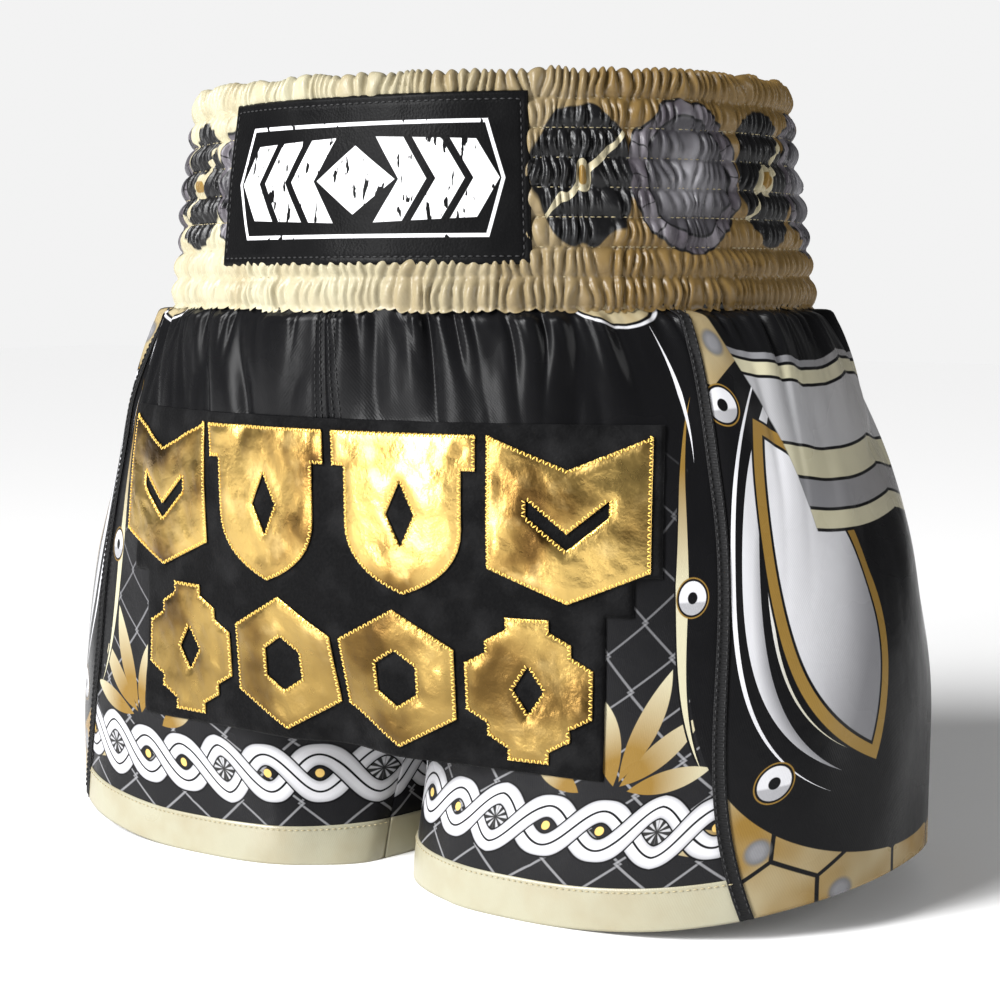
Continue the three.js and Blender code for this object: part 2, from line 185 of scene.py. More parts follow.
def skirt(around, down):
    b = sizes()
    half_width = mix(WAIST_HALF_WIDTH, b.leg_x + b.leg_outer, 1 - (1 - down**0.8) ** 2)
    half_depth = mix(WAIST_HALF_DEPTH, b.leg_depth, down**1.5)
    x, y = superellipse(half_width, half_depth, mix(2, 2.4, down), math.pi * around)
    return x, y + b.leg_y * down


def hem_angle(around):
    g = sizes().gusset_angle
    return mix(-g, math.pi + g, around)


def leg_opening(angle):
    b = sizes()
    outward = np.sin(angle) > 0
    half_width = np.where(outward, b.leg_outer, b.leg_x - b.leg_gap / 2)
    x, y = superellipse(half_width, b.leg_depth, np.where(outward, 2.2, 2.9), angle)
    return b.leg_x + x, b.leg_y + y


def hem_height(angle):
    return sizes().hem_rise * np.maximum(0, np.sin(angle)) ** 2


def gusset_point(across, down):
    """The left thigh's gusset: from front (0) to back (1), and from the crotch (0) to the hem (1)."""
    b = sizes()
    x, y = leg_opening(mix(-b.gusset_angle, b.gusset_angle - math.pi, across))
    down = np.clip(down, 0, 1)
    top_y = mix(-b.gusset_half, b.gusset_half, across)
    return np.stack([x * (1 - (1 - down) ** 3), mix(top_y, y, down), b.crotch * (1 - down)], -1)


def centre_seam(down, front):
    """Straight down, then under to the gusset, then down the thigh. front is an array of true or false."""
    b = sizes()
    end = 1 - b.crotch / BODY_LENGTH
    start = np.where(front, b.front_tuck, b.seat_tuck)
    side = np.where(front, 0.0, 1.0)
    straight_y = skirt(side, np.minimum(down, start))[1]
    straight = np.stack([0 * down, straight_y, BODY_LENGTH * (1 - down)], -1)
    turn = np.clip((down - start) / (end - start), 0, 1) * math.pi / 2
    tip = np.where(front, -1, 1) * b.gusset_half
    under_y = tip + (straight_y - tip) * np.cos(turn)
    under_z = mix(BODY_LENGTH * (1 - start), b.crotch, np.sin(turn))
    under = np.stack([0 * down, under_y, under_z], -1)
    thigh = gusset_point(side, (down - end) / (1 - end))
    down = down[:, None]
    return np.where(down <= start[:, None], straight, np.where(down >= end, thigh, under))


def body(around, down, tuck=1.0):
    """The body's left half: around goes from the front centre (0) by the side (0.5) to the back (1)."""
    around, down = (np.asarray(v, float) for v in np.broadcast_arrays(around, down))
    above = np.minimum(down, 0)  # what stands up inside the waistband
    down = np.clip(down, 0, 1)
    split = ramp(down, 0.3, 1)
    height = lambda at: mix(BODY_LENGTH, hem_height(hem_angle(at)), down)

    def blended(at):
        (ux, uy), (lx, ly) = skirt(at, down), leg_opening(hem_angle(at))
        return np.stack([mix(ux, lx, split), mix(uy, ly, split), height(at)], -1)

    p = blended(around)
    front = around < 0.5
    end = np.where(front, 0.0, 1.0)
    reach = np.maximum(0, 1 - np.abs(around - end) / 0.2) ** 2
    flat = np.stack([0 * down, skirt(end, down)[1], p[:, 2]], -1)
    edge = mix(flat, centre_seam(down, front), tuck)
    p = p + (edge - blended(end)) * reach[:, None]
    p[:, 1] += SHIFT_Y
    p[:, 2] -= above * BODY_LENGTH
    return p


def normals(surface, across, down):
    """The outward normals of a surface of (across, down)."""
    step = 1e-4
    a, d = np.minimum(across, 1 - step), np.minimum(down, 1 - step)
    p = surface(a, d)
    n = np.cross(surface(a, d + step) - p, surface(a + step, d) - p)
    return n / np.linalg.norm(n, axis=1, keepdims=True)


def waist(angle, z, offset=0.0):
    """The waistband's outer face."""
    b = sizes()
    up = (z - BODY_LENGTH) / (TOP_Z - BODY_LENGTH)
    half_width = mix(WAIST_HALF_WIDTH, b.top_half_width, up)
    half_depth = mix(WAIST_HALF_DEPTH, b.top_half_depth, up)
    x, y = superellipse(half_width, half_depth, 2, angle)
    n = np.stack([x / half_width**2, y / half_depth**2], -1)
    n /= np.linalg.norm(n, axis=1, keepdims=True)
    return np.stack([x + offset * n[:, 0], y + offset * n[:, 1] + SHIFT_Y, z + 0 * x], -1)


def girth(around):
    """Length round the leg to a share of the way, for prints that keep their scale."""
    if "girth" not in TABLES:
        shares = np.linspace(0, 1, 401)
        p = body(shares, np.full(401, 0.8), 0.0)
        TABLES["girth"] = np.concatenate([[0], np.cumsum(np.linalg.norm(np.diff(p, axis=0), axis=1))])
    lengths = TABLES["girth"]
    return np.interp(around, np.linspace(0, 1, 401), lengths)


# ---- Folds --------------------------------------------------------------


def noise(x, y, seed, period=256):
    """Smooth noise from -1 to 1, with features about 1 apart; it repeats along x after period."""
    table = np.random.default_rng(seed).uniform(-1, 1, (256, 128))
    i, j = np.floor(x).astype(int), np.floor(y).astype(int)
    u, v = x - i, y - j
    u, v = (t * t * t * (t * (t * 6 - 15) + 10) for t in (u, v))
    at = lambda a, b: table[a % period, b % 128]
    return mix(mix(at(i, j), at(i + 1, j), u), mix(at(i, j + 1), at(i + 1, j + 1), u), v)


def ring_noise(angle, count, y, seed):
    """Noise with count features round a closed ring."""
    return noise((angle / (2 * math.pi) + 0.5) * count, y, seed, count)


def puffed(n):
    """Turns noise into round ridges with narrow creases between them."""
    return 2.2 * np.sqrt(n * n + 0.004) - 0.7


def on_applique(s, z):
    inside = 1 - ramp(np.abs(s), 0.145, 0.165)
    return inside * ramp(z, 0.05, 0.075) * (1 - ramp(z, 0.20, 0.222))


def fold(s, z):
    """How far the cloth stands off the plain surface, at a signed distance round and a height."""
    b = sizes()
    below = np.maximum(BODY_LENGTH - z, 0)
    sway = 0.009 * noise(s / 0.05, below / 0.06, 11)
    lean = 0.22 * below * np.sign(s) * ramp(np.abs(s), 0.02, 0.12)
    start = ramp(below, 0.0, 0.007)
    fine = puffed(noise((s + 0.5 * sway) / 0.0052, below / 0.05, 12)) * np.exp(-below / 0.011)
    middle = puffed(noise((s + sway + 0.5 * lean) / 0.0125, below / 0.07, 13)) * np.exp(-below / 0.034)
    wide = puffed(noise((s + sway + lean) / 0.030, below / 0.12, 14))
    wide *= np.exp(-(((below - 0.055) / 0.055) ** 2))
    long_fold = noise((s + 2 * sway) / 0.055, below / 0.30, 15) * ramp(below, 0.03, 0.14)
    ripple = noise((s + sway) / 0.022, below / 0.035, 16) * ramp(below, 0.05, 0.12)
    out = b.gather_depth * (0.55 * fine + middle)
    out += b.fold_depth * (0.75 * wide + 0.75 * long_fold + 0.14 * ripple)
    calm = 1 - 0.72 * on_applique(s, z)
    return out * start * calm


def loose(around, level, side, p):
    """fold() on the body, dying out at the seams that meet at the crotch, and the distance from them."""
    seat = np.minimum(np.abs(around), np.abs(1 - around)) * HALF_ROUND
    tied = np.where(around > 0.5, 1.0, ramp(level, 0.55, 0.72))
    return fold(side * around * HALF_ROUND, p[:, 2]) * mix(1, ramp(seat, 0, 0.015), tied), seat


def moved_off(p, n, off):
    """Points moved along their normals; those on the centre line stay on it, so left and right meet."""
    move = n * np.asarray(off)[:, None]
    move[:, 0] *= ramp(np.abs(p[:, 0]), 0.0, 0.005)
    return p + move


def seam_dip(distance, depth=0.0009, width=0.0022):
    return -depth * np.exp(-((distance / width) ** 2))


# ---- Builders -----------------------------------------------------------


def link(mesh, finish, replaces=()):
    """Puts a finished mesh in the scene as a piece of the garment, under the mesh's name."""
    mesh.materials.append(finish_of(finish))
    obj = bpy.data.objects.new(mesh.name, mesh)
    bpy.context.scene.collection.objects.link(obj)
    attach(obj, "root")
    if replaces:
        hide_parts(*replaces)
    return obj


def read(mesh):
    flat = np.empty(len(mesh.vertices) * 3)
    mesh.vertices.foreach_get("co", flat)
    return flat.reshape(-1, 3)


def write(mesh, points):
    mesh.vertices.foreach_set("co", np.asarray(points, float).ravel())
    mesh.update()


def add_uv(mesh, name, per_vertex):
    layer = mesh.uv_layers.new(name=name)
    corner = np.empty(len(mesh.loops), int)
    mesh.loops.foreach_get("vertex_index", corner)
    layer.uv.foreach_set("vector", per_vertex[corner].astype(np.float32).ravel())


def sheet_mesh(name, columns, rows, place, weld=False):
    """A grid whose points place(across, down) puts on a surface, with the UV maps that it also returns."""
    bm = bmesh.new()
    bmesh.ops.create_grid(bm, x_segments=columns, y_segments=rows, size=0.5)
    mesh = bpy.data.meshes.new(name)
    bm.to_mesh(mesh)
    bm.free()
    flat = read(mesh)
    points, maps = place(flat[:, 0] + 0.5, 0.5 - flat[:, 1])
    write(mesh, points)
    for key, values in maps.items():
        add_uv(mesh, key, values)
    if weld:
        bm = bmesh.new()
        bm.from_mesh(mesh)
        bmesh.ops.remove_doubles(bm, verts=bm.verts, dist=1e-6)
        bm.to_mesh(mesh)
        bm.free()
    mesh.shade_smooth()
    return mesh


def thicken(obj, thickness, offset=-1):
    solid = obj.modifiers.new("Cloth thickness", "SOLIDIFY")
    solid.thickness = thickness
    solid.offset = offset
    return obj


def stitches(name, starts, ends, radius, up):
    """One mesh of short thread stitches, each from a start to an end; up are the directions off the cloth."""
    bm = bmesh.new()
    bmesh.ops.create_icosphere(bm, subdivisions=1, radius=1)
    bm.verts.ensure_lookup_table()
    ball = np.array([v.co[:] for v in bm.verts])
    faces = np.array([[v.index for v in f.verts] for f in bm.faces])
    bm.free()
    along = ends - starts
    reach = np.linalg.norm(along, axis=1, keepdims=True)
    x = along / np.maximum(reach, 1e-9)
    y = np.cross(up, x)
    y /= np.maximum(np.linalg.norm(y, axis=1, keepdims=True), 1e-9)
    z = np.cross(x, y)
    axes = (x * reach / 2, y * radius, z * radius)
    parts = [ball[None, :, k : k + 1] * axis[:, None] for k, axis in enumerate(axes)]
    points = (starts + ends)[:, None] / 2 + sum(parts)
    count = len(starts)
    index = faces[None] + (np.arange(count) * len(ball))[:, None, None]
    mesh = bpy.data.meshes.new(name)
    mesh.from_pydata(points.reshape(-1, 3).tolist(), [], index.reshape(-1, 3).tolist())
    mesh.shade_smooth()
    return mesh


def running_stitch(points, off, pitch, gap, lift):
    """Starts, ends and directions of stitches along a line of points with the directions off the cloth."""
    steps = np.linalg.norm(np.diff(points, axis=0), axis=1)
    gone = np.concatenate([[0], np.cumsum(steps)])
    count = max(1, int(gone[-1] / pitch))
    at = np.arange(count) * pitch
    along = lambda t, values: np.stack([np.interp(t, gone, values[:, k]) for k in range(3)], -1)
    middle = along(at + pitch / 2, off)
    return along(at, points) + lift * middle, along(at + pitch - gap, points) + lift * middle, middle


# ---- Shader maths -------------------------------------------------------


class Term:
    """A shader value that ordinary arithmetic turns into Math nodes."""

    def __init__(self, graph, socket):
        self.graph, self.socket = graph, socket

    def __add__(self, other):
        return self.graph.math("ADD", self, other)

    __radd__ = __add__

    def __sub__(self, other):
        return self.graph.math("SUBTRACT", self, other)

    def __rsub__(self, other):
        return self.graph.math("SUBTRACT", other, self)

    def __mul__(self, other):
        return self.graph.math("MULTIPLY", self, other)

    __rmul__ = __mul__

    def __truediv__(self, other):
        return self.graph.math("DIVIDE", self, other)

    def __abs__(self):
        return self.graph.math("ABSOLUTE", self)


class Graph:
    """Builds one material's nodes."""

    def __init__(self, name):
        self.material = bpy.data.materials.new(name)
        self.material.use_nodes = True
        self.tree = self.material.node_tree
        self.tree.nodes.clear()
        self.shader = self.node("ShaderNodeBsdfPrincipled")
        out = self.node("ShaderNodeOutputMaterial")
        self.tree.links.new(self.shader.outputs["BSDF"], out.inputs["Surface"])

    def node(self, kind, **settings):
        node = self.tree.nodes.new(kind)
        for key, value in settings.items():
            setattr(node, key, value)
        return node

    def plug(self, socket, value):
        if isinstance(value, Term):
            self.tree.links.new(value.socket, socket)
        elif isinstance(value, bpy.types.NodeSocket):
            self.tree.links.new(value, socket)
        elif hasattr(value, "__len__") and len(value) == 3 and socket.type == "RGBA":
            socket.default_value = (*value, 1)
        else:
            socket.default_value = value

    def math(self, operation, *values, clamp=False):
        node = self.node("ShaderNodeMath", operation=operation, use_clamp=clamp)
        for socket, value in zip(node.inputs, values):
            self.plug(socket, value)
        return Term(self, node.outputs[0])

    def vector(self, operation, *values, out=0):
        node = self.node("ShaderNodeVectorMath", operation=operation)
        for socket, value in zip(node.inputs, values):
            self.plug(socket, value)
        return Term(self, node.outputs[out])

    def uv(self, name):
        """The UV map as a vector and its two parts."""
        vector = Term(self, self.node("ShaderNodeUVMap", uv_map=name).outputs[0])
        split = self.node("ShaderNodeSeparateXYZ")
        self.plug(split.inputs[0], vector)
        return vector, Term(self, split.outputs[0]), Term(self, split.outputs[1])

    def parts(self, vector):
        split = self.node("ShaderNodeSeparateXYZ")
        self.plug(split.inputs[0], vector)
        return [Term(self, s) for s in split.outputs]

    def join(self, x, y, z=0.0):
        node = self.node("ShaderNodeCombineXYZ")
        for socket, value in zip(node.inputs, (x, y, z)):
            self.plug(socket, value)
        return Term(self, node.outputs[0])

    def distance(self, p, centre):
        return self.vector("DISTANCE", p, (*centre, 0.0), out=1)

    def below(self, value, edge, soft=0.00035):
        """1 where value is under edge, with a soft step."""
        return self.math("MULTIPLY_ADD", value, -1 / soft, 0.5 + edge / soft, clamp=True)

    def above(self, value, edge, soft=0.00035):
        return self.math("MULTIPLY_ADD", value, 1 / soft, 0.5 - edge / soft, clamp=True)

    def line(self, value, at, width, soft=0.00035):
        return self.below(abs(value - at), width / 2, soft)

    def paint(self, under, mask, over):
        """over laid on under where mask is 1."""
        node = self.node("ShaderNodeMix", data_type="RGBA")
        self.plug(node.inputs[0], mask)
        self.plug(node.inputs[6], under)
        self.plug(node.inputs[7], over)
        return Term(self, node.outputs[2])

    def texture(self, kind, p, scale, detail=2.0, **settings):
        node = self.node(kind, **settings)
        self.plug(node.inputs["Vector"], p)
        node.inputs["Scale"].default_value = scale
        if "Detail" in node.inputs:
            node.inputs["Detail"].default_value = detail
        return Term(self, node.outputs[0])

    def noise(self, p, scale, detail=2.0):
        return self.texture("ShaderNodeTexNoise", p, scale, detail)

    def object_point(self):
        return Term(self, self.node("ShaderNodeTexCoord").outputs["Object"])

    def remap(self, value, low, high, new_low, new_high):
        node = self.node("ShaderNodeMapRange")
        for socket, number in zip(node.inputs[:5], (value, low, high, new_low, new_high)):
            self.plug(socket, number)
        return Term(self, node.outputs[0])

    def bump(self, height, distance, strength=1.0, under=None):
        node = self.node("ShaderNodeBump")
        node.inputs["Strength"].default_value = strength
        node.inputs["Distance"].default_value = distance
        self.plug(node.inputs["Height"], height)
        if under is not None:
            self.plug(node.inputs["Normal"], under)
        return Term(self, node.outputs[0])

    def surface(self, **inputs):
        for key, value in inputs.items():
            self.plug(self.shader.inputs[key.replace("_", " ")], value)
        return self.material


def satin(graph, base, roughness=0.36, sheen=0.0, shine=0.10):
    """Finishes a graph as satin: soft crinkle, a fine weave and a long highlight."""
    p = graph.object_point()
    _, u, v = graph.uv("Cloth")
    twill = graph.math("SINE", (u + v * 0.5) * (2 * math.pi / 0.0011))
    crinkle = graph.noise(p, 95, 3)
    soft = graph.noise(p, 28, 2)
    under = graph.bump(soft, 0.0016, 0.55)
    under = graph.bump(crinkle, 0.0005, 0.5, under)
    normal = graph.bump(twill, 0.00003, 0.35, under)
    rough = graph.remap(soft, 0.3, 0.7, roughness - 0.05, roughness + 0.07)
    graph.surface(Base_Color=base, Roughness=rough, Normal=normal)
    graph.shader.inputs["Specular IOR Level"].default_value = shine
    graph.shader.inputs["Sheen Weight"].default_value = sheen
    graph.shader.inputs["Sheen Roughness"].default_value = 0.4
    return graph.material


def washer(graph, under, p, centre, radius, tones):
    """A white printed ring with a dark middle and a thin outer line."""
    far = graph.distance(p, centre)
    c = under
    c = graph.paint(c, graph.below(far, radius * 1.22), tones.deep_gold)
    c = graph.paint(c, graph.below(far, radius * 1.14), tones.black)
    c = graph.paint(c, graph.below(far, radius), tones.silver)
    shade = graph.below(graph.parts(p)[1], centre[1] - radius * 0.25, 0.001)
    c = graph.paint(c, shade * graph.below(far, radius) * 0.7, tones.grey)
    return graph.paint(c, graph.below(far, radius * 0.36), tones.black)


def leaf(graph, p, base, angle, size, width):
    """A pointed leaf from base, as a mask."""
    along = Vector((math.cos(angle), math.sin(angle)))
    off = Vector((-along.y, along.x))
    radius = (size**2 / 4 + width**2 / 4) / width
    middle = Vector(base) + along * size / 2
    sides = [graph.distance(p, middle + off * k * (radius - width / 2)) for k in (1, -1)]
    return graph.below(graph.math("MAXIMUM", *sides), radius)


def hexagons(graph, p, pitch):
    """Distance from the middle of the nearest hexagon of a honeycomb, 0 to pitch / 2."""
    cell = (pitch, pitch * 1.732, 1.0)
    half = tuple(c / 2 for c in cell)
    lift = graph.vector("ADD", p, (10 * cell[0], 10 * cell[1], 0.0))
    a = graph.vector("SUBTRACT", graph.vector("MODULO", lift, cell), (half[0], half[1], 0.0))
    shifted = graph.vector("SUBTRACT", lift, (half[0], half[1], 0.0))
    b = graph.vector("SUBTRACT", graph.vector("MODULO", shifted, cell), (half[0], half[1], 0.0))
    to = []
    for q in (a, b):
        x, y, _ = graph.parts(graph.vector("ABSOLUTE", q))
        to.append(graph.math("MAXIMUM", x, x * 0.5 + y * 0.866))
    return graph.math("MINIMUM", *to)


RING = (-0.005, 0.150)  # middle of the rings on the side print
BAND_RADIUS = 0.1385  # of the black band, which runs over the side seams
STROKE_RADIUS = 0.1412  # of the tapering gold stroke round it


def ring_band(graph, c, p, v, tones):
    """The rings' black band and the tapering gold stroke outside it; they run over the side seams."""
    far = graph.distance(p, RING)
    ends = abs(v - RING[1])
    outer = far + graph.remap(v, 0.222, 0.258, 0.0, 0.022)
    c = graph.paint(c, graph.below(outer, BAND_RADIUS), tones.black)
    width = graph.remap(ends, 0.0, 0.080, 0.0036, 0.0)
    off = abs(far - STROKE_RADIUS)
    tone = graph.paint(tones.pale_gold, graph.remap(v, 0.15, 0.20, 0, 1), tones.deep_gold)
    outline = graph.math("LESS_THAN", off, width + 0.0009) * graph.below(ends, 0.076)
    c = graph.paint(c, outline, tones.black)
    return graph.paint(c, graph.math("LESS_THAN", off, width), tone)


def printed_satin(tones):
    """Black satin with a wire lattice, a two-strand braid over the hem, leaves and rings by the seam."""
    g = Graph("Printed black satin")
    p, u, v = g.uv("Cloth")
    q, qu, qv = g.uv("Ring")
    c = g.paint(tones.black, g.remap(v, 0.20, 0.06, 0, 1), tones.charcoal)
    # Wire lattice: upright zigzags that hook round their neighbours
    fade = g.remap(v, 0.215, 0.07, 0.0, 0.5)
    pitch, tall = 0.034, 0.0150
    sway = (g.math("PINGPONG", v + 0.3, tall) - tall / 2) * (pitch / 2 * 1.13 / tall)
    for offset, way in ((0.0, 1), (pitch / 2, -1)):
        wire = abs(g.math("WRAP", u + offset + sway * way, pitch / 2, -pitch / 2)) * 0.66
        c = g.paint(c, g.below(wire, 0.0011, 0.0005) * fade, tones.black)
        c = g.paint(c, g.below(wire, 0.00055, 0.0005) * fade, g.paint(tones.grey, 0.5, tones.silver))
    # Leaves
    for base, angle, size, width in (
        ((0.136, 0.064), 0.80, 0.042, 0.0115), ((0.135, 0.066), 1.35, 0.050, 0.012),
        ((0.133, 0.064), 2.00, 0.040, 0.011), ((0.140, 0.062), 0.25, 0.036, 0.010),
        ((0.200, 0.034), 2.98, 0.046, 0.012), ((0.118, 0.060), 2.7, 0.030, 0.009),
    ):
        tone = g.paint(tones.deep_gold, g.remap(g.distance(p, base), size * 0.3, size, 0, 1), tones.pale_gold)
        c = g.paint(c, leaf(g, p, base, angle, size, width), tone)
    # Braid
    middle, wave, strand = 0.0440, 0.0503, 0.0098
    along = u + (1.25 * wave - 0.0827 + 6 * wave)
    height = v - middle
    rosette = g.math("PINGPONG", along + wave / 4, wave * 0.75)
    swing = g.remap(rosette, 0.0, 0.018, 0.0112, 0.0088)
    phase = along * (2 * math.pi / wave)
    rise = g.math("SINE", phase) * swing
    slope = g.math("COSINE", phase)
    steep = g.math("SQRT", g.math("MULTIPLY_ADD", slope * slope, (2 * math.pi * 0.0095 / wave) ** 2, 1.0))
    first, second = abs(height - rise) / steep, abs(height + rise) / steep
    turn = g.above(slope, 0, 0.001)
    top = first * turn + second * (1 - turn)
    bottom = second * turn + first * (1 - turn)
    eye = g.math("PINGPONG", along + wave / 4, wave / 4)
    far = g.math("SQRT", rosette * rosette + height * height)
    ray = g.math("SINE", g.math("ARCTAN2", height, rosette) * 10.0)
    c = g.paint(c, g.below(far, 0.0086), tones.grey)
    c = g.paint(c, g.below(far, 0.0079), (0.02, 0.02, 0.02))
    streak = g.above(ray, 0.2, 0.9) * g.below(far, 0.0060, 0.002) * g.above(far, 0.0016, 0.002)
    c = g.paint(c, streak * 0.7, tones.silver)
    stud = g.math("SQRT", eye * eye + height * height)
    c = g.paint(c, g.below(stud, 0.0020) * g.above(far, 0.012), tones.foil)
    for distance in (bottom, top):
        c = g.paint(c, g.below(distance, strand / 2 + 0.0008), tones.black)
        shade = g.remap(distance, strand * 0.30, strand * 0.5, 0, 0.6)
        c = g.paint(c, g.below(distance, strand / 2), g.paint(tones.silver, shade, tones.grey))
        c = g.paint(c, g.below(distance, 0.0005), tones.black)
    # By the seam: the rings' edge, a washer, a white stroke and a gold cap
    clear = g.above(qv, 0.068, 0.002)
    ringed = ring_band(g, c, q, qv, tones)
    c = g.paint(c, clear, ringed)
    lean = qv - 0.232
    stroke = abs(qu + lean * lean * 4.0 + 0.1262)
    white = g.math("LESS_THAN", stroke, g.remap(abs(lean), 0.0, 0.030, 0.0013, 0.0))
    c = g.paint(c, white, tones.silver)
    cap = g.vector("SUBTRACT", q, (-0.145, 0.273, 0.0))
    cap = g.vector("LENGTH", g.vector("MULTIPLY", cap, (1 / 0.030, 1 / 0.0135, 0.0)), out=1)
    c = g.paint(c, g.below(cap, 1.08, 0.03), tones.black)
    c = g.paint(c, g.below(cap, 1.0, 0.03), tones.silver)
    c = g.paint(c, g.below(cap, 0.92, 0.03), tones.black)
    c = g.paint(c, g.below(cap, 0.84, 0.03), g.paint(tones.pale_gold, g.noise(p, 60), tones.deep_gold))
    c = washer(g, c, q, (-0.1405, 0.1451), 0.0072, tones)
    return satin(g, c, roughness=0.25)


def side_satin(tones):
    """The side panel's print: plain rings, a lens and stripes on a gold honeycomb."""
    g = Graph("Printed side satin")
    cloth, u, v = g.uv("Cloth")
    # The same figure towards the front and the back
    fold_at = 0.016
    u = fold_at - abs(u - fold_at)
    p = g.join(u, v)
    gold = g.paint(tones.deep_gold, g.remap(g.noise(cloth, 26), 0.35, 0.7, 0, 0.5), tones.pale_gold)
    c = g.paint(gold, g.above(hexagons(g, cloth, 0.042), 0.0200, 0.0004), tones.black)
    for centre in ((-0.0978, 0.2514), (-0.0901, 0.0299), (-0.052, 0.002)):
        c = g.paint(c, g.below(g.distance(p, centre), 0.0056, 0.002), (0.10, 0.10, 0.10))
        c = g.paint(c, g.below(g.distance(p, centre), 0.0040, 0.003), tones.grey)
    c = ring_band(g, c, p, v, tones)
    far = g.distance(p, RING)
    # Rings, each thinner towards its ends
    ends = abs(v - RING[1])
    for radius, width, tone in (
        (0.1140, 0.0024, tones.silver), (0.1045, 0.0095, tones.grey), (0.0950, 0.0018, tones.pale_gold),
    ):
        shade = g.remap(far + v * 0.07, radius + 0.0040, radius + 0.0100, 0, 0.8)
        half = g.remap(ends * ends, 0.0, (0.88 * radius) ** 2, width / 2, 0.0)
        c = g.paint(c, g.math("LESS_THAN", abs(far - radius), half), g.paint(tone, shade, tones.silver))
    # Lens: what two equal circles share, with a gold rim and a shaded middle
    lens = g.math("MAXIMUM", g.distance(p, (0.0219, 0.168)), g.distance(p, (-0.148, 0.108)))
    rim = g.paint(tones.deep_gold, g.remap(v, 0.03, 0.13, 0.6, 0), (0.30, 0.20, 0.06))
    middle = g.paint(tones.silver, g.remap(u - v * 0.35, -0.122, -0.076, 0, 1), tones.grey)
    for radius, tone in ((0.1250, tones.black), (0.1238, rim), (0.1186, tones.black), (0.1172, middle)):
        c = g.paint(c, g.below(lens, radius), tone)
    # Stripes across the top, then a dark yoke
    bend = v + (u + 0.03) * (u + 0.03) * -2.0
    edge = g.above(u + bend * 0.30, -0.0170, 0.001)
    c = g.paint(c, edge * g.above(bend, 0.1640), tones.black)
    shade = g.remap(u, -0.06, 0.01, 0, 0.45)
    for low, high, tone in (
        (0.1655, 0.1735, tones.pale_gold), (0.1750, 0.1870, tones.grey), (0.1885, 0.2015, tones.pale_gold),
        (0.2030, 0.2310, (0.30, 0.30, 0.31)), (0.2325, 0.2385, tones.pale_gold), (0.2400, 0.2430, tones.grey),
    ):
        shaded = g.paint(tone, shade, (0.12, 0.11, 0.10))
        c = g.paint(c, edge * g.above(bend, low) * g.below(bend, high), shaded)
    for at in ((-0.1062, 0.2248), (-0.0872, 0.0598)):
        c = washer(g, c, p, at, 0.0076, tones)
    return satin(g, c, roughness=0.27)


def waistband_satin(tones):
    """Pale gold satin, with dark discs and silver bosses printed round its middle rows, and painted shade by
    the wearer's left hip.
    """
    g = Graph("Waistband satin")
    p, u, v = g.uv("Cloth")
    pitch = WAIST_ROUND / 9
    mottle = g.noise(g.vector("MULTIPLY", p, (1.0, 0.3, 1.0)), 45)
    ground = g.paint(tones.pale_gold, g.remap(mottle, 0.4, 0.75, 0, 0.45), tones.deep_gold)
    # Painted shade: pale at the front, darkening to deep gold and brown by the wearer's left hip, the side
    # away from the light, then pale again at the centre back
    hip_shade = g.remap(u, -0.03, 0.13, 0, 0.94) * g.remap(u, 0.28, 0.44, 1, 0)
    ground = g.paint(ground, hip_shade, g.paint(tones.deep_gold, 0.55, (0.070, 0.036, 0.006)))
    height = v - 0.0560
    # Discs, squeezed sideways by the gathers, with a slanted bar and a small ring
    x = g.math("WRAP", u - 0.1110, pitch / 2, -pitch / 2) * 1.33
    far = g.math("SQRT", x * x + height * height)
    c = g.paint(ground, g.below(far, 0.0303, 0.001), tones.black)
    bright = g.paint(tones.pale_gold, 0.25, tones.deep_gold)
    bar = g.math("LESS_THAN", abs(height - x * 0.75), g.remap(abs(x), 0.0, 0.032, 0.0030, 0.0008))
    c = g.paint(c, bar * g.below(far, 0.0300), bright)
    c = g.paint(c, g.below(far, 0.0065), bright)
    c = g.paint(c, g.below(far, 0.0034), tones.deep_gold)
    # Bosses between the discs
    x2 = g.math("WRAP", u - 0.1615, pitch / 2, -pitch / 2) * 1.14
    far2 = g.math("SQRT", x2 * x2 + height * height)
    angle = g.math("ARCTAN2", height, x2)
    scallop = abs(g.math("SINE", angle * 7.0)) * -0.0012
    edge = far2 + scallop
    purple = (0.058, 0.051, 0.060)
    outline = (0.006, 0.006, 0.007)
    c = g.paint(c, g.below(edge, 0.0332, 0.0006), outline)
    gleam = g.remap(g.math("SINE", angle * 5.0 + 1.0), -0.3, 1.0, 0, 0.75)
    c = g.paint(c, g.below(edge, 0.0320, 0.0006), g.paint(purple, gleam, (0.14, 0.13, 0.145)))
    notch = g.below(abs(g.math("SINE", angle * 7.0)), 0.07, 0.05)
    c = g.paint(c, notch * g.below(edge, 0.0320), (0.012, 0.011, 0.013))
    c = g.paint(c, g.below(far2, 0.0262, 0.0006), outline)
    glow = g.remap(far2, 0.024, 0.002, 0.0, 0.8) * g.remap(g.noise(p, 70, 2), 0.35, 0.65, 0.3, 1.0)
    c = g.paint(c, g.below(far2, 0.0250, 0.0006), g.paint((0.035, 0.033, 0.038), glow, (0.30, 0.295, 0.315)))
    plain = g.math("MAXIMUM", g.below(v, 0.0225, 0.0006), g.above(v, 0.0895, 0.0006))
    c = g.paint(c, plain, ground)
    return satin(g, c, roughness=0.30, shine=0.24)


def plain_satin(name, tone, other):
    g = Graph(name)
    p = g.object_point()
    c = g.paint(tone, g.remap(g.noise(p, 40, 3), 0.4, 0.8, 0, 0.35), other)
    return satin(g, c, roughness=0.32, shine=0.5)


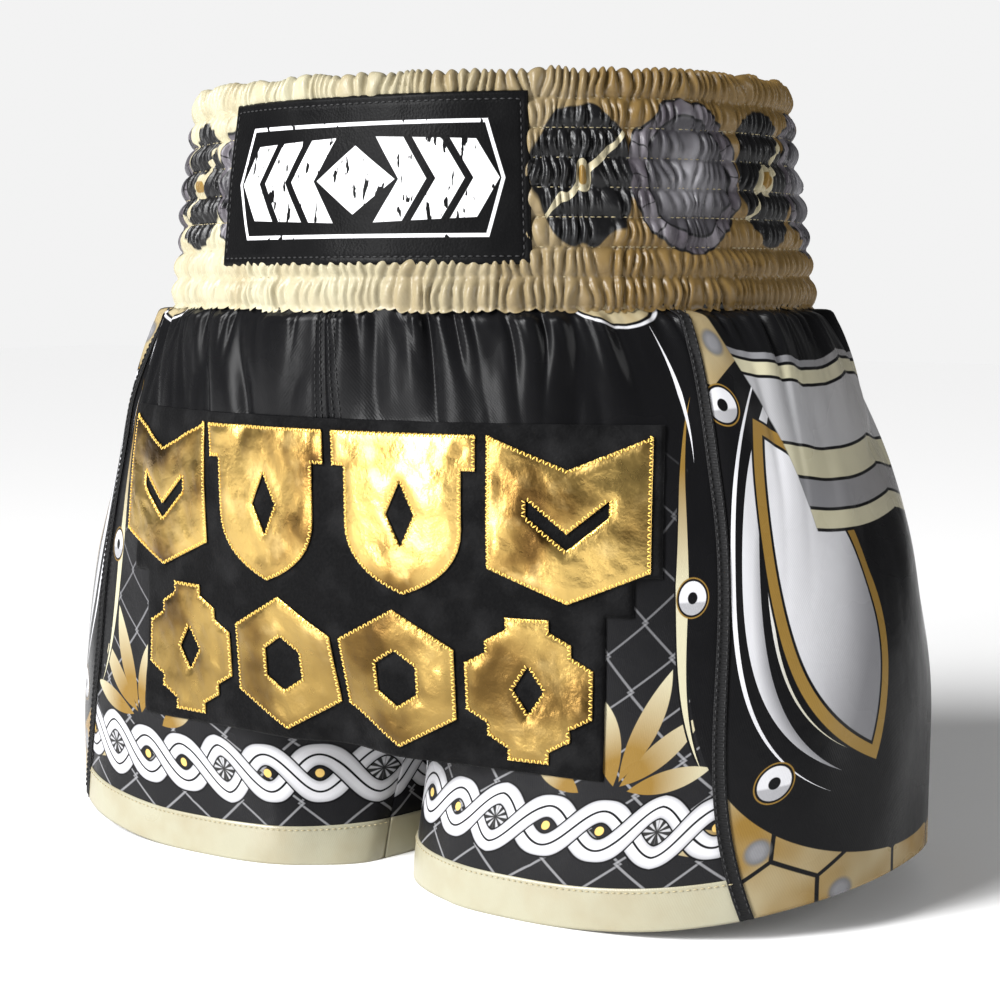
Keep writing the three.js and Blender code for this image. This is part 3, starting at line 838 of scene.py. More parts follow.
def webbing(name, tone, pitch=0.0012):
    """Ribbed tape or elastic, from Object coordinates."""
    g = Graph(name)
    p = g.object_point()
    _, _, z = g.parts(p)
    ribs = g.math("SINE", z * (2 * math.pi / pitch))
    grain = g.noise(p, 900, 2)
    normal = g.bump(ribs + grain, 0.00012, 0.6)
    c = g.paint(tone, g.remap(grain, 0.3, 0.8, 0, 0.4), tuple(t * 0.6 for t in tone))
    g.shader.inputs["Specular IOR Level"].default_value = 0.2
    return g.surface(Base_Color=c, Roughness=g.remap(grain, 0.3, 0.7, 0.55, 0.75), Normal=normal)


def thread(name, tone, shine=0.35, sheen=0.3):
    g = Graph(name)
    p = g.object_point()
    twist = g.noise(p, 2400, 1)
    c = g.paint(tone, g.remap(twist, 0.35, 0.75, 0, 0.5), tuple(t * 0.55 for t in tone))
    g.surface(Base_Color=c, Roughness=g.remap(twist, 0.3, 0.7, shine, shine + 0.15))
    g.shader.inputs["Sheen Weight"].default_value = sheen
    return g.material


def velvet():
    g = Graph("Black velvet")
    p = g.object_point()
    nap = g.noise(p, 700, 3)
    crush = g.noise(p, 60, 2)
    normal = g.bump(nap, 0.0005, 0.8, g.bump(crush, 0.0015, 0.5))
    c = g.paint((0.0025, 0.0025, 0.0028), g.remap(crush, 0.45, 0.75, 0, 1), (0.009, 0.009, 0.0095))
    g.surface(Base_Color=c, Roughness=g.remap(nap, 0.3, 0.7, 0.75, 0.95), Normal=normal)
    g.shader.inputs["Sheen Weight"].default_value = 0.03
    g.shader.inputs["Sheen Roughness"].default_value = 0.4
    g.shader.inputs["Specular IOR Level"].default_value = 0.08
    return g.material


def gold_foil(tones):
    """Creased metal foil with painted reflections in brown and near-black patches, a painted highlight of
    light gold along the creases, and painted shade on the lower blocks.
    """
    g = Graph("Gold foil")
    p = g.object_point()
    patch = g.noise(p, 24, 3)
    crease = g.noise(p, 75, 4)
    grain = g.noise(p, 600, 2)
    # Painted reflections: brown patches, near-black in their middles; and a painted highlight of light gold
    # on the creases
    c = g.paint(tones.foil, g.remap(patch, 0.42, 0.60, 0, 1), (0.27, 0.16, 0.045))
    c = g.paint(c, g.remap(crease, 0.56, 0.76, 0, 0.5), (0.78, 0.58, 0.25))
    c = g.paint(c, g.remap(patch, 0.55, 0.66, 0, 0.9), (0.075, 0.04, 0.012))
    # Painted shade: the lower row of blocks darker, towards the bottom
    _, _, v = g.parts(p)
    lower = g.remap(v, 0.150, 0.100, 0.0, 0.72)
    lower_shade = g.paint((0.21, 0.135, 0.040), g.remap(patch, 0.42, 0.55, 0, 1), (0.10, 0.060, 0.018))
    c = g.paint(c, lower, lower_shade)
    normal = g.bump(grain, 0.00015, 0.4, g.bump(crease, 0.0012, 0.6, g.bump(patch, 0.004, 0.5)))
    rough = g.remap(crease, 0.35, 0.7, 0.25, 0.40)
    return g.surface(Base_Color=c, Metallic=1.0, Roughness=rough, Normal=normal)


def label_leather(tones):
    """Black smooth leather with a winged lozenge printed in silver."""
    g = Graph("Label leather")
    p, u, v = g.uv("Cloth")
    x, y = abs(u), v
    # Lozenge, then three chevrons on each side
    lozenge = x * 0.75 + abs(y)
    shape = lozenge - 0.0150
    lean = x + abs(y) * 0.62
    for inner, half in ((0.0245, 0.0066), (0.0420, 0.0066), (0.0585, 0.0058)):
        bar = g.math("MAXIMUM", abs(lean - inner - 0.004) - half, abs(y) - 0.0190 + x * 0.04)
        shape = g.math("MINIMUM", shape, bar)
    frame_line = g.math("MAXIMUM", x + abs(y) * 0.3 - 0.0700, abs(y) - 0.0245)
    scratch = g.above(g.noise(g.vector("MULTIPLY", p, (1.0, 0.35, 1.0)), 240, 3), 0.61, 0.02)
    grain = g.texture("ShaderNodeTexVoronoi", p, 900, 0.0)
    c = g.paint((0.003, 0.003, 0.0033), g.noise(p, 60), (0.006, 0.006, 0.0063))
    worn = 1 - scratch
    c = g.paint(c, g.line(frame_line, 0.0, 0.0016) * worn, (0.75, 0.75, 0.77))
    c = g.paint(c, g.below(shape, 0.0) * worn, (0.80, 0.80, 0.81))
    soft = g.noise(p, 45, 2)
    normal = g.bump(grain, 0.00018, 0.5, g.bump(soft, 0.001, 0.4))
    rough = g.remap(soft, 0.3, 0.7, 0.30, 0.45)
    g.shader.inputs["Specular IOR Level"].default_value = 0.04
    return g.surface(Base_Color=c, Roughness=rough, Normal=normal)


MATERIALS = {}


def finish_of(key):
    """The garment's materials, each made the first time it is asked for."""
    tones = bpy.context.scene.shorts_colours
    tones = type("Tones", (), {k: tuple(getattr(tones, k)) for k in ShortsColours.__annotations__})
    makers = {
        "printed": lambda: printed_satin(tones),
        "side": lambda: side_satin(tones),
        "waistband": lambda: waistband_satin(tones),
        "hem": lambda: plain_satin("Pale gold satin", (0.30, 0.285, 0.205), tones.deep_gold),
        "tape": lambda: webbing("Black tape", (0.005, 0.005, 0.0055)),
        "elastic": lambda: webbing("Elastic webbing", (0.80, 0.78, 0.72), 0.0016),
        "velvet": velvet,
        "foil": lambda: gold_foil(tones),
        "label": lambda: label_leather(tones),
        "gold_thread": lambda: thread("Gold thread", tones.thread, 0.32),
        "black_thread": lambda: thread("Black thread", (0.011, 0.011, 0.012), 0.6, 0.0),
        "pale_thread": lambda: thread("Pale thread", (0.36, 0.30, 0.16)),
    }
    if key not in MATERIALS:
        MATERIALS[key] = makers[key]()
    return MATERIALS[key]


# ---- Pieces of the body -------------------------------------------------


def levels(kind):
    """The level of an edge, as a function of the share of the way round."""
    b = sizes()
    up = {"hem": 0.0, "band": b.hem_band, "under_band": b.hem_band - 0.004}
    if kind == "waist":
        return lambda around: -0.012 + 0 * around
    return lambda around: 1 - up[kind] / (BODY_LENGTH - hem_height(hem_angle(around)))


def seam_at(level):
    b = sizes()
    level = np.clip(level, 0, 1)
    return b.side_seam + b.seam_slant * level**2 - b.seam_bow * np.sin(math.pi * level)


def seams(kind, spare=0.0):
    """Where a piece starts and ends, as functions of the level."""
    front, back = seam_at, lambda level: 1 - seam_at(level)
    start, end = {
        "front": (lambda level: 0 * level, front),
        "side": (front, back),
        "back": (back, lambda level: 0 * level + 1),
        "front_tape": (front, front),
        "back_tape": (back, back),
    }[kind]
    return lambda level: start(level) - spare, lambda level: end(level) + spare


def cloth_on_body(kind, side, top, bottom, lift=0.0, spare=0.0):
    """Returns place() for a sheet of the body between two seams and two levels."""
    start, end = seams(kind, spare)
    top, bottom = levels(top), levels(bottom)

    def place(across, down):
        across = across if side > 0 else 1 - across
        one = np.ones_like(across)
        at_hem = mix(start(one), end(one), across)
        level = mix(top(at_hem), bottom(at_hem), down)
        around = mix(start(level), end(level), across)
        p = body(around, level)
        n = normals(body, np.clip(around, 0, 1), np.clip(level, 0, 1))
        folds, seat = loose(around, level, side, p)
        edge = np.abs(around - mix(seam_at(level), 1 - seam_at(level), (around > 0.5) * 1.0)) * HALF_ROUND
        off = folds + seam_dip(seat) + seam_dip(edge, 0.0006)
        off -= 0.0016 * (1 - ramp(BODY_LENGTH - p[:, 2], -0.001, 0.008))
        p = moved_off(p, n, off + lift)
        p[:, 2] = np.maximum(p[:, 2], 0.0)
        p[:, 0] *= side
        above_hem = (1 - level) * BODY_LENGTH
        far = girth(around)
        middle, whole = girth(0.5), girth(1.0)
        centred = {"front": far, "back": whole - far, "side": far - middle}.get(kind, far)
        return p, {
            "Cloth": np.stack([centred, above_hem], -1),
            "Ring": np.stack([-np.abs(far - middle), above_hem], -1),
        }

    return place


class SHORTS_OT_panels(bpy.types.Operator):
    """Front, side and back panels of printed satin"""

    bl_idname = "shorts.panels"
    bl_label = "Body panels"

    def execute(self, context):
        for name, side in SIDES:
            for kind, columns, rows, bottom, flat in (
                ("front", 170, 200, "under_band", (0.20, 0.262)),
                ("side", 170, 200, "hem", (0.22, 0.275)),
                ("back", 150, 180, "under_band", (0.20, 0.262)),
            ):
                place = cloth_on_body(kind, side, "waist", bottom)
                mesh = sheet_mesh(f"{kind}_panel_cloth_{name}", columns, rows, place)
                finish = "side" if kind == "side" else "printed"
                obj = link(mesh, finish, replaces=[f"{kind}_panel_{name}"])
                thicken(obj, PANEL_CLOTH)
        return {"FINISHED"}


class SHORTS_OT_gusset(bpy.types.Operator):
    """The gusset from one inner leg to the other, over the crotch"""

    bl_idname = "shorts.gusset"
    bl_label = "Crotch gusset"

    def execute(self, context):
        b = context.scene.shorts_body
        limit = 1 - (b.hem_band - 0.003) / b.crotch

        def surface(across, down):
            way = mix(-limit, limit, across)
            p = gusset_point(down, np.abs(way))
            p[:, 0] *= np.sign(way)
            p[:, 1] += SHIFT_Y
            return p

        def place(across, down):
            n = normals(surface, across, down)
            p = surface(across, down)
            edge = np.minimum(down, 1 - down) * 2 * b.gusset_half
            wave = 0.0007 * noise(across * 9, down * 7, 21) * ramp(edge, 0, 0.01)
            p = p + n * (wave + seam_dip(edge, 0.0005) - 0.0002)[:, None]
            above_hem = p[:, 2]
            cloth = np.stack([0.3 + p[:, 1], above_hem], -1)
            return p, {"Cloth": cloth, "Ring": cloth}

        mesh = sheet_mesh("gusset_cloth", 90, 70, place)
        obj = link(mesh, "printed", replaces=["crotch_gusset"])
        thicken(obj, PANEL_CLOTH)
        return {"FINISHED"}


class SHORTS_OT_hems(bpy.types.Operator):
    """Pale gold bands folded round the leg hems"""

    bl_idname = "shorts.hems"
    bl_label = "Hem bands"

    def execute(self, context):
        b = context.scene.shorts_body
        for name, side in SIDES:
            for kind in ("front", "back"):
                place = cloth_on_body(kind, side, "band", "hem", lift=0.0005)
                mesh = sheet_mesh(f"hem_{kind}_cloth_{name}", 170, 16, place)
                obj = link(mesh, "hem", replaces=[f"hem_{kind}_{name}"])
                thicken(obj, HEM_FOLD)

            def surface(across, down, sign=side):
                across = across if sign > 0 else 1 - across
                p = gusset_point(1 - across, mix(1 - b.hem_band / b.crotch, 1.0, down))
                p[:, 0] *= sign
                p[:, 1] += SHIFT_Y
                return p

            def place_gusset(across, down):
                p = surface(across, down) + normals(surface, across, down) * 0.0004
                p[:, 2] = np.maximum(p[:, 2], 0.0)
                cloth = np.stack([p[:, 1], p[:, 2]], -1)
                return p, {"Cloth": cloth}

            mesh = sheet_mesh(f"hem_gusset_cloth_{name}", 90, 12, place_gusset)
            obj = link(mesh, "hem", replaces=[f"hem_gusset_{name}"])
            thicken(obj, INNER_HEM_FOLD)
        return {"FINISHED"}


class SHORTS_OT_tapes(bpy.types.Operator):
    """Black tapes over the side seams"""

    bl_idname = "shorts.tapes"
    bl_label = "Seam tapes"

    def execute(self, context):
        for name, side in SIDES:
            for kind in ("front", "back"):
                half = TAPE_HALF_WIDTH / HALF_ROUND
                place = cloth_on_body(f"{kind}_tape", side, "waist", "hem", lift=0.0010, spare=half)
                mesh = sheet_mesh(f"seam_tape_{kind}_cloth_{name}", 8, 220, place)
                obj = link(mesh, "tape", replaces=[f"seam_tape_{kind}_{name}"])
                thicken(obj, TAPE)
        return {"FINISHED"}


# ---- Waistband ----------------------------------------------------------

CASING_DEPTH = 0.0044
WAIST_ROUND = 0.93  # metres of print round the waistband


def label_shape():
    low, high = (tuple(corner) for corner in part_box("waist_label"))
    return {
        "low": low[2], "high": high[2], "width": 0.164, "offset": 0.013, "radius": 0.1595,
    }


def label_angles():
    s = label_shape()
    return (s["offset"] - s["width"] / 2) / s["radius"], (s["offset"] + s["width"] / 2) / s["radius"]


def under_label(angle, z):
    s = label_shape()
    start, end = label_angles()
    centre, half = (start + end) / 2, (end - start) / 2
    reach = half * s["radius"]
    across = 1 - ramp(np.abs(angle - centre) * s["radius"], reach - 0.006, reach + 0.001)
    tall = ramp(z, s["low"] - 0.001, s["low"] + 0.006) * (1 - ramp(z, s["high"] - 0.006, s["high"] + 0.001))
    return across * tall


def ruche(angle, z):
    """How far the gathered satin stands off the casing, its sideways drag, and its pleats, at each point."""
    w = bpy.context.scene.shorts_waist
    up = (z - BODY_LENGTH) / (TOP_Z - BODY_LENGTH) * w.channels
    up = up + 0.07 * ring_noise(angle, 31, up * 1.3, 31) * np.sin(math.pi * np.clip(up / w.channels, 0, 1))
    row = np.floor(up)
    channel = np.abs(np.sin(math.pi * up)) ** 0.7
    turns = round(WAIST_ROUND / w.pucker_pitch)
    count = (angle / (2 * math.pi) + 0.5) * turns
    count = count + 0.9 * ring_noise(angle, 66, up * 0.35, 32)
    count = count + 0.5 * ring_noise(angle, 103, row * 3.7 + up * 0.6, 33)
    pleat = np.abs(np.sin(math.pi * count)) ** 0.8
    slow = count * round(turns * 0.53) / turns + 0.3 * ring_noise(angle, 46, up, 34)
    broad = np.abs(np.sin(math.pi * slow)) ** 0.9
    depth = w.pucker_depth * (0.8 + 0.5 * ring_noise(angle, 58, row * 5.1, 35))
    flat = 1 - 0.92 * under_label(angle, z)
    off = w.puff * channel * (0.55 + 0.45 * pleat) - 0.0004
    off += depth * ((0.7 + 0.3 * channel) * (0.60 * pleat + 0.40 * broad) - 0.5)
    off += 0.0008 * ring_noise(angle, 21, up * 0.8, 36)
    drag = 0.0013 * ring_noise(angle, 116, up * 1.1, 37) * channel
    return off * flat, drag * flat, pleat


class SHORTS_OT_waistband(bpy.types.Operator):
    """Gold satin ruched over the elastics, folded over at the top, and its inner wall"""

    bl_idname = "shorts.waistband"
    bl_label = "Waistband"

    def execute(self, context):
        fold_share = 0.07
        edge = 0.0022  # radius of the roll at the top

        def place_cover(across, down):
            angle = (across - 0.5) * 2 * math.pi  # the ends meet at the centre back
            fall = np.clip((down - fold_share) / (1 - fold_share), 0, 1)
            z = mix(TOP_Z - edge, BODY_LENGTH - 0.0012, fall)
            turn = np.clip((fold_share - down) / fold_share, 0, 1) * math.pi
            off, drag, pleat = ruche(angle, z)
            calm = np.cos(turn / 2) ** 2
            offset = off * calm - edge * (1 - np.cos(turn))
            crest = ramp(z, TOP_Z - 0.011, TOP_Z - 0.003)
            scallop = (0.0024 * (pleat - 0.6) + 0.0012 * ring_noise(angle, 74, 0 * angle, 41)) * crest
            height = z + edge * np.sin(turn) + scallop
            p = waist(angle + drag / 0.15, np.minimum(z, TOP_Z), offset)
            p[:, 2] = height
            seam = 1 - ramp(z, BODY_LENGTH, BODY_LENGTH + 0.004)
            p[:, 2] += (0.0009 * ring_noise(angle, 190, 0 * angle, 38) - 0.0012 * pleat) * seam
            s = angle / (2 * math.pi) * WAIST_ROUND
            print_u = s + 0.0022 * ring_noise(angle, 155, z / 0.02, 39)
            print_v = z - BODY_LENGTH + 0.0012 * ring_noise(angle, 186, z / 0.01, 40)
            return p, {"Cloth": np.stack([print_u, print_v], -1)}

        mesh = sheet_mesh("waistband_cover", 1290, 74, place_cover, weld=True)
        cover = link(mesh, "waistband", replaces=["waistband_casing"])

        def place_facing(across, down):
            angle = (0.5 - across) * 2 * math.pi  # turned so that its faces look inwards
            z = mix(TOP_Z - edge, BODY_LENGTH - 0.0008, down)
            off, drag, _ = ruche(angle, z)
            inwards = CASING_DEPTH + 0.6 * np.maximum(off, 0) * ramp(down, 0.0, 0.05)
            p = waist(angle + drag / 0.15, z, -inwards)
            s = angle / (2 * math.pi) * WAIST_ROUND
            return p, {"Cloth": np.stack([s, z - BODY_LENGTH], -1)}

        mesh = sheet_mesh("waistband_facing", 900, 60, place_facing, weld=True)
        facing = link(mesh, "hem")

        w = context.scene.shorts_waist
        starts, ends, offs = [], [], []
        for row in range(1, w.channels):
            z = BODY_LENGTH + (TOP_Z - BODY_LENGTH) * row / w.channels
            angle = np.linspace(-math.pi, math.pi, 1800)
            height = np.full_like(angle, z)
            off, drag, _ = ruche(angle, height)
            p = waist(angle + drag / 0.15, height, off)
            n = waist(angle, height, 0.001) - waist(angle, height, 0.0)
            n /= np.linalg.norm(n, axis=1, keepdims=True)
            a, e, o = running_stitch(p, n, 0.0031, 0.0006, 0.00015)
            at = np.arctan2(a[:, 0] / WAIST_HALF_WIDTH, -(a[:, 1] - SHIFT_Y) / WAIST_HALF_DEPTH)
            keep = under_label(at, np.full(len(a), z)) < 0.2
            starts.append(a[keep])
            ends.append(e[keep])
            offs.append(o[keep])
        starts, ends, offs = (np.concatenate(v) for v in (starts, ends, offs))
        mesh = stitches("waistband_stitching", starts, ends, 0.00027, offs)
        link(mesh, "pale_thread")
        return {"FINISHED"}


class SHORTS_OT_elastics(bpy.types.Operator):
    """Ribbed webbing on the elastic bands inside the waistband"""

    bl_idname = "shorts.elastics"
    bl_label = "Elastic bands"

    def execute(self, context):
        for row in range(context.scene.shorts_waist.channels):
            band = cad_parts[f"elastic_band_{row + 1}"]
            for slot in band.material_slots:
                slot.material = finish_of("elastic")
        return {"FINISHED"}


class SHORTS_OT_label(bpy.types.Operator):
    """Stitched leather label on the front of the waistband"""

    bl_idname = "shorts.label"
    bl_label = "Waist label"

    def execute(self, context):
        shape = label_shape()
        start, end = label_angles()
        tall = shape["high"] - shape["low"]
        lift = 0.0026

        def point(x, y, extra=0.0):
            """x and y are from the label's middle, in metres."""
            angle = mix(start, end, x / shape["width"] + 0.5)
            z = shape["low"] + tall / 2 + y
            sag = 0.0008 * noise(x / 0.05, y / 0.05, 51) + 0.0003 * noise(x / 0.015, y / 0.015, 52)
            return waist(angle, z, lift + sag + extra)

        def place(across, down):
            x, y = (across - 0.5) * shape["width"], (0.5 - down) * tall
            inset = np.minimum(shape["width"] / 2 - np.abs(x), tall / 2 - np.abs(y))
            from_stitches = inset - context.scene.shorts_waist.label_inset
            rounded = -0.0009 * (1 - ramp(inset, -0.0002, 0.0014))
            extra = rounded - 0.00035 * np.exp(-((from_stitches / 0.0008) ** 2))
            return point(x, y, extra), {"Cloth": np.stack([x, y], -1)}

        mesh = sheet_mesh("waist_label_leather", 230, 110, place)
        obj = link(mesh, "label", replaces=["waist_label"])
        thicken(obj, LABEL_HIDE)

        inset = context.scene.shorts_waist.label_inset
        half_x, half_y = shape["width"] / 2 - inset, tall / 2 - inset
        corners = np.array([(-1, -1), (1, -1), (1, 1), (-1, 1), (-1, -1)]) * (half_x, half_y)
        line = np.concatenate([np.linspace(a, b, 160)[:-1] for a, b in zip(corners[:-1], corners[1:])])
        p = point(line[:, 0], line[:, 1], -0.0001)
        n = point(line[:, 0], line[:, 1], 0.001) - point(line[:, 0], line[:, 1], 0.0)
        n /= np.linalg.norm(n, axis=1, keepdims=True)
        a, e, o = running_stitch(p, n, 0.0034, 0.0008, 0.0)
        mesh = stitches("label_stitching", a, e, 0.0004, o)
        link(mesh, "black_thread")
        return {"FINISHED"}


# ---- Applique -----------------------------------------------------------


def around_table():
    """Shares of the way round for distances from the centre line, at a range of heights."""
    heights = np.linspace(0.02, 0.25, 47)
    shares = np.linspace(0, 0.42, 211)
    rows = []
    for z in heights:
        level = (BODY_LENGTH - z) / (BODY_LENGTH - hem_height(hem_angle(shares)))
        p = body(shares, level, 0.0)
        rows.append(np.concatenate([[0], np.cumsum(np.linalg.norm(np.diff(p, axis=0), axis=1))]))
    return heights, shares, np.array(rows)


def front_point(x, z, lift):
    """Points of the front, by distance round from the centre line, height, and lift off the cloth."""
    if "front" not in TABLES:
        TABLES["front"] = around_table()
    heights, shares, rows = TABLES["front"]
    at = np.clip((z - heights[0]) / (heights[1] - heights[0]), 0, len(heights) - 1.001)
    low = at.astype(int)
    found = np.zeros((2, len(x)))
    for row in np.unique(low):
        here = low == row
        for k in (0, 1):
            found[k, here] = np.interp(np.abs(x[here]), rows[row + k], shares)
    around = mix(found[0], found[1], at - low)
    surface = lambda a, d: body(a, d, 0.0)
    level = (BODY_LENGTH - z) / (BODY_LENGTH - hem_height(hem_angle(around)))
    p = surface(around, level)
    n = normals(surface, np.maximum(around, 1e-3), level)
    side = np.where(x < 0, -1.0, 1.0)
    dip = 0.010 * np.exp(-((x / 0.022) ** 2)) * (1 - ramp(z, 0.07, 0.13))
    off = fold(side * around * HALF_ROUND, z) - dip + lift
    p = p + n * off[:, None]
    p[:, 0] *= side
    n[:, 0] *= side
    return p, n


def outline_mesh(outlines, pitch):
    """A flat mesh inside closed outlines, the first of which is the rim, cut on a square grid."""
    bm = bmesh.new()
    for outline in outlines:
        verts = [bm.verts.new((x, y, 0)) for x, y in outline]
        for k, v in enumerate(verts):
            bm.edges.new((v, verts[(k + 1) % len(verts)]))
    bmesh.ops.triangle_fill(bm, use_beauty=True, use_dissolve=True, edges=bm.edges[:], normal=(0, 0, 1))
    xs, ys = zip(*outlines[0])
    for axis, values in ((0, xs), (1, ys)):
        for k in range(math.ceil(min(values) / pitch), math.floor(max(values) / pitch) + 1):
            place, normal = [0.0, 0.0, 0.0], [0.0, 0.0, 0.0]
            place[axis] = k * pitch
            normal[axis] = 1.0
            everything = bm.verts[:] + bm.edges[:] + bm.faces[:]
            bmesh.ops.bisect_plane(bm, geom=everything, plane_co=place, plane_no=normal, dist=1e-7)
    bmesh.ops.recalc_face_normals(bm, faces=bm.faces[:])
    if sum(f.normal.z for f in bm.faces) < 0:
        bmesh.ops.reverse_faces(bm, faces=bm.faces[:])
    return bm


def edge_distance(points, outlines):
    """Distance of 2-D points from the nearest outline."""
    best = np.full(len(points), 1e9)
    for outline in outlines:
        ring = np.array(outline)
        for a, b in zip(ring, np.roll(ring, -1, axis=0)):
            along = b - a
            t = np.clip(((points - a) @ along) / max(along @ along, 1e-12), 0, 1)
            best = np.minimum(best, np.linalg.norm(points - a - t[:, None] * along, axis=1))
    return best


def banner(w, h, slot):
    notch = h * 0.2
    rim = [(-w / 2, h / 2), (-w / 2, notch - h / 2), (0, -h / 2)]
    rim += [(w / 2, notch - h / 2), (w / 2, h / 2), (0, h / 2 - notch)]
    top = h * 0.12
    hole = [(-w / 4, top), (0, top - notch), (w / 4, top)]
    hole += [(w / 4, top - slot), (0, top - slot - notch), (-w / 4, top - slot)]
    return [rim, hole]


def shield(w, h, slot):
    shoulder, inset = h * 0.22, w * 0.09
    curve = []
    for a, c, b in (
        ((inset - w / 2, -h * 0.08), (inset - w / 2, -h * 0.36), (0, -h / 2)),
        ((0, -h / 2), (w / 2 - inset, -h * 0.36), (w / 2 - inset, -h * 0.08)),
    ):
        for t in np.linspace(0, 1, 9)[:-1]:
            curve.append(tuple((1 - t) ** 2 * a[k] + 2 * t * (1 - t) * c[k] + t * t * b[k] for k in (0, 1)))
    ledge = h / 2 - shoulder
    rim = [(-w / 2, h / 2), (-w / 2, ledge), (inset - w / 2, ledge), *curve]
    rim += [(w / 2 - inset, -h * 0.08), (w / 2 - inset, ledge), (w / 2, ledge), (w / 2, h / 2)]
    half = h * 0.2
    return [rim, [(0, half), (slot, 0), (0, -half), (-slot, 0)]]


def stepped(w, h, slot):
    corner = []
    for k in range(3):
        x = w / 2 * (1 - k / 3)
        corner += [(x, h / 2 * k / 3 + h / 12), (x, h / 2 * (k + 1) / 3)]
    quarter = corner[1:]
    upper = quarter + [(-x, y) for x, y in reversed(quarter)]
    return [upper + [(-x, -y) for x, y in upper], [(slot, 0), (0, 1.5 * slot), (-slot, 0), (0, -1.5 * slot)]]


def hexagon(w, h, slot):
    turns = [math.pi / 2 + k * math.pi / 3 for k in range(6)]
    ring = lambda r, squeeze: [(r * math.cos(a) * squeeze, r * math.sin(a)) for a in turns]
    return [ring(h / 2, w / h / math.cos(math.pi / 6)), ring(h / 5, w / h)]


def applique_layout():
    """The blocks' middles, sizes and shapes, and the velvet's outline."""
    a = bpy.context.scene.shorts_applique
    upper_top = BODY_LENGTH - a.row_drop
    upper_bottom = upper_top - a.upper_height
    lower_top = upper_bottom - a.row_gap
    lower_bottom = lower_top - a.lower_height
    lower_width = a.upper_width * a.narrowing
    places = (("outer_right", -1.5), ("inner_right", -0.5), ("inner_left", 0.5), ("outer_left", 1.5))
    blocks = []
    for row, width, height, bottom, outer, inner in (
        ("upper", a.upper_width, a.upper_height, upper_bottom, banner, shield),
        ("lower", lower_width, a.lower_height, lower_bottom, stepped, hexagon),
    ):
        for place_name, place in places:
            shape = (outer if abs(place) > 1 else inner)(width, height, a.slot)
            centre = (place * (width + a.block_gap), bottom + height / 2)
            moved = [[(x + centre[0], y + centre[1]) for x, y in ring] for ring in shape]
            blocks.append((f"{row}_{place_name}", moved))
    upper_edge = 2 * a.upper_width + 1.5 * a.block_gap + a.margin
    lower_edge = 2 * lower_width + 1.5 * a.block_gap + a.margin
    m, t = a.margin, a.step
    right = [
        (lower_edge, lower_bottom - m), (lower_edge, upper_bottom - m), (upper_edge - t, upper_bottom - m),
        (upper_edge - t, upper_bottom + t), (upper_edge, upper_bottom + t), (upper_edge, upper_top + m),
    ]
    velvet_rim = right + [(-x, y) for x, y in reversed(right)]
    return blocks, velvet_rim


def laid_mesh(name, outlines, pitch, lift):
    """A flat outline laid on the front; lift(points) is each point's height over the cloth."""
    bm = outline_mesh(outlines, pitch)
    mesh = bpy.data.meshes.new(name)
    bm.to_mesh(mesh)
    bm.free()
    flat = read(mesh)[:, :2]
    write(mesh, front_point(flat[:, 0], flat[:, 1], lift(flat))[0])
    add_uv(mesh, "Cloth", flat)
    mesh.shade_smooth()
    return mesh


class SHORTS_OT_backing(bpy.types.Operator):
    """Black velvet under the foil blocks"""

    bl_idname = "shorts.backing"
    bl_label = "Velvet backing"

    def execute(self, context):
        _, rim = applique_layout()

        def lift(flat):
            inset = edge_distance(flat, [rim])
            nap = 0.00025 * noise(flat[:, 0] / 0.006, flat[:, 1] / 0.006, 61)
            return 0.0017 + nap - 0.0008 * (1 - ramp(inset, 0, 0.002))

        mesh = laid_mesh("velvet_backing", [rim], 0.0024, lift)
        obj = link(mesh, "velvet", replaces=["applique_backing"])
        thicken(obj, VELVET)
        return {"FINISHED"}


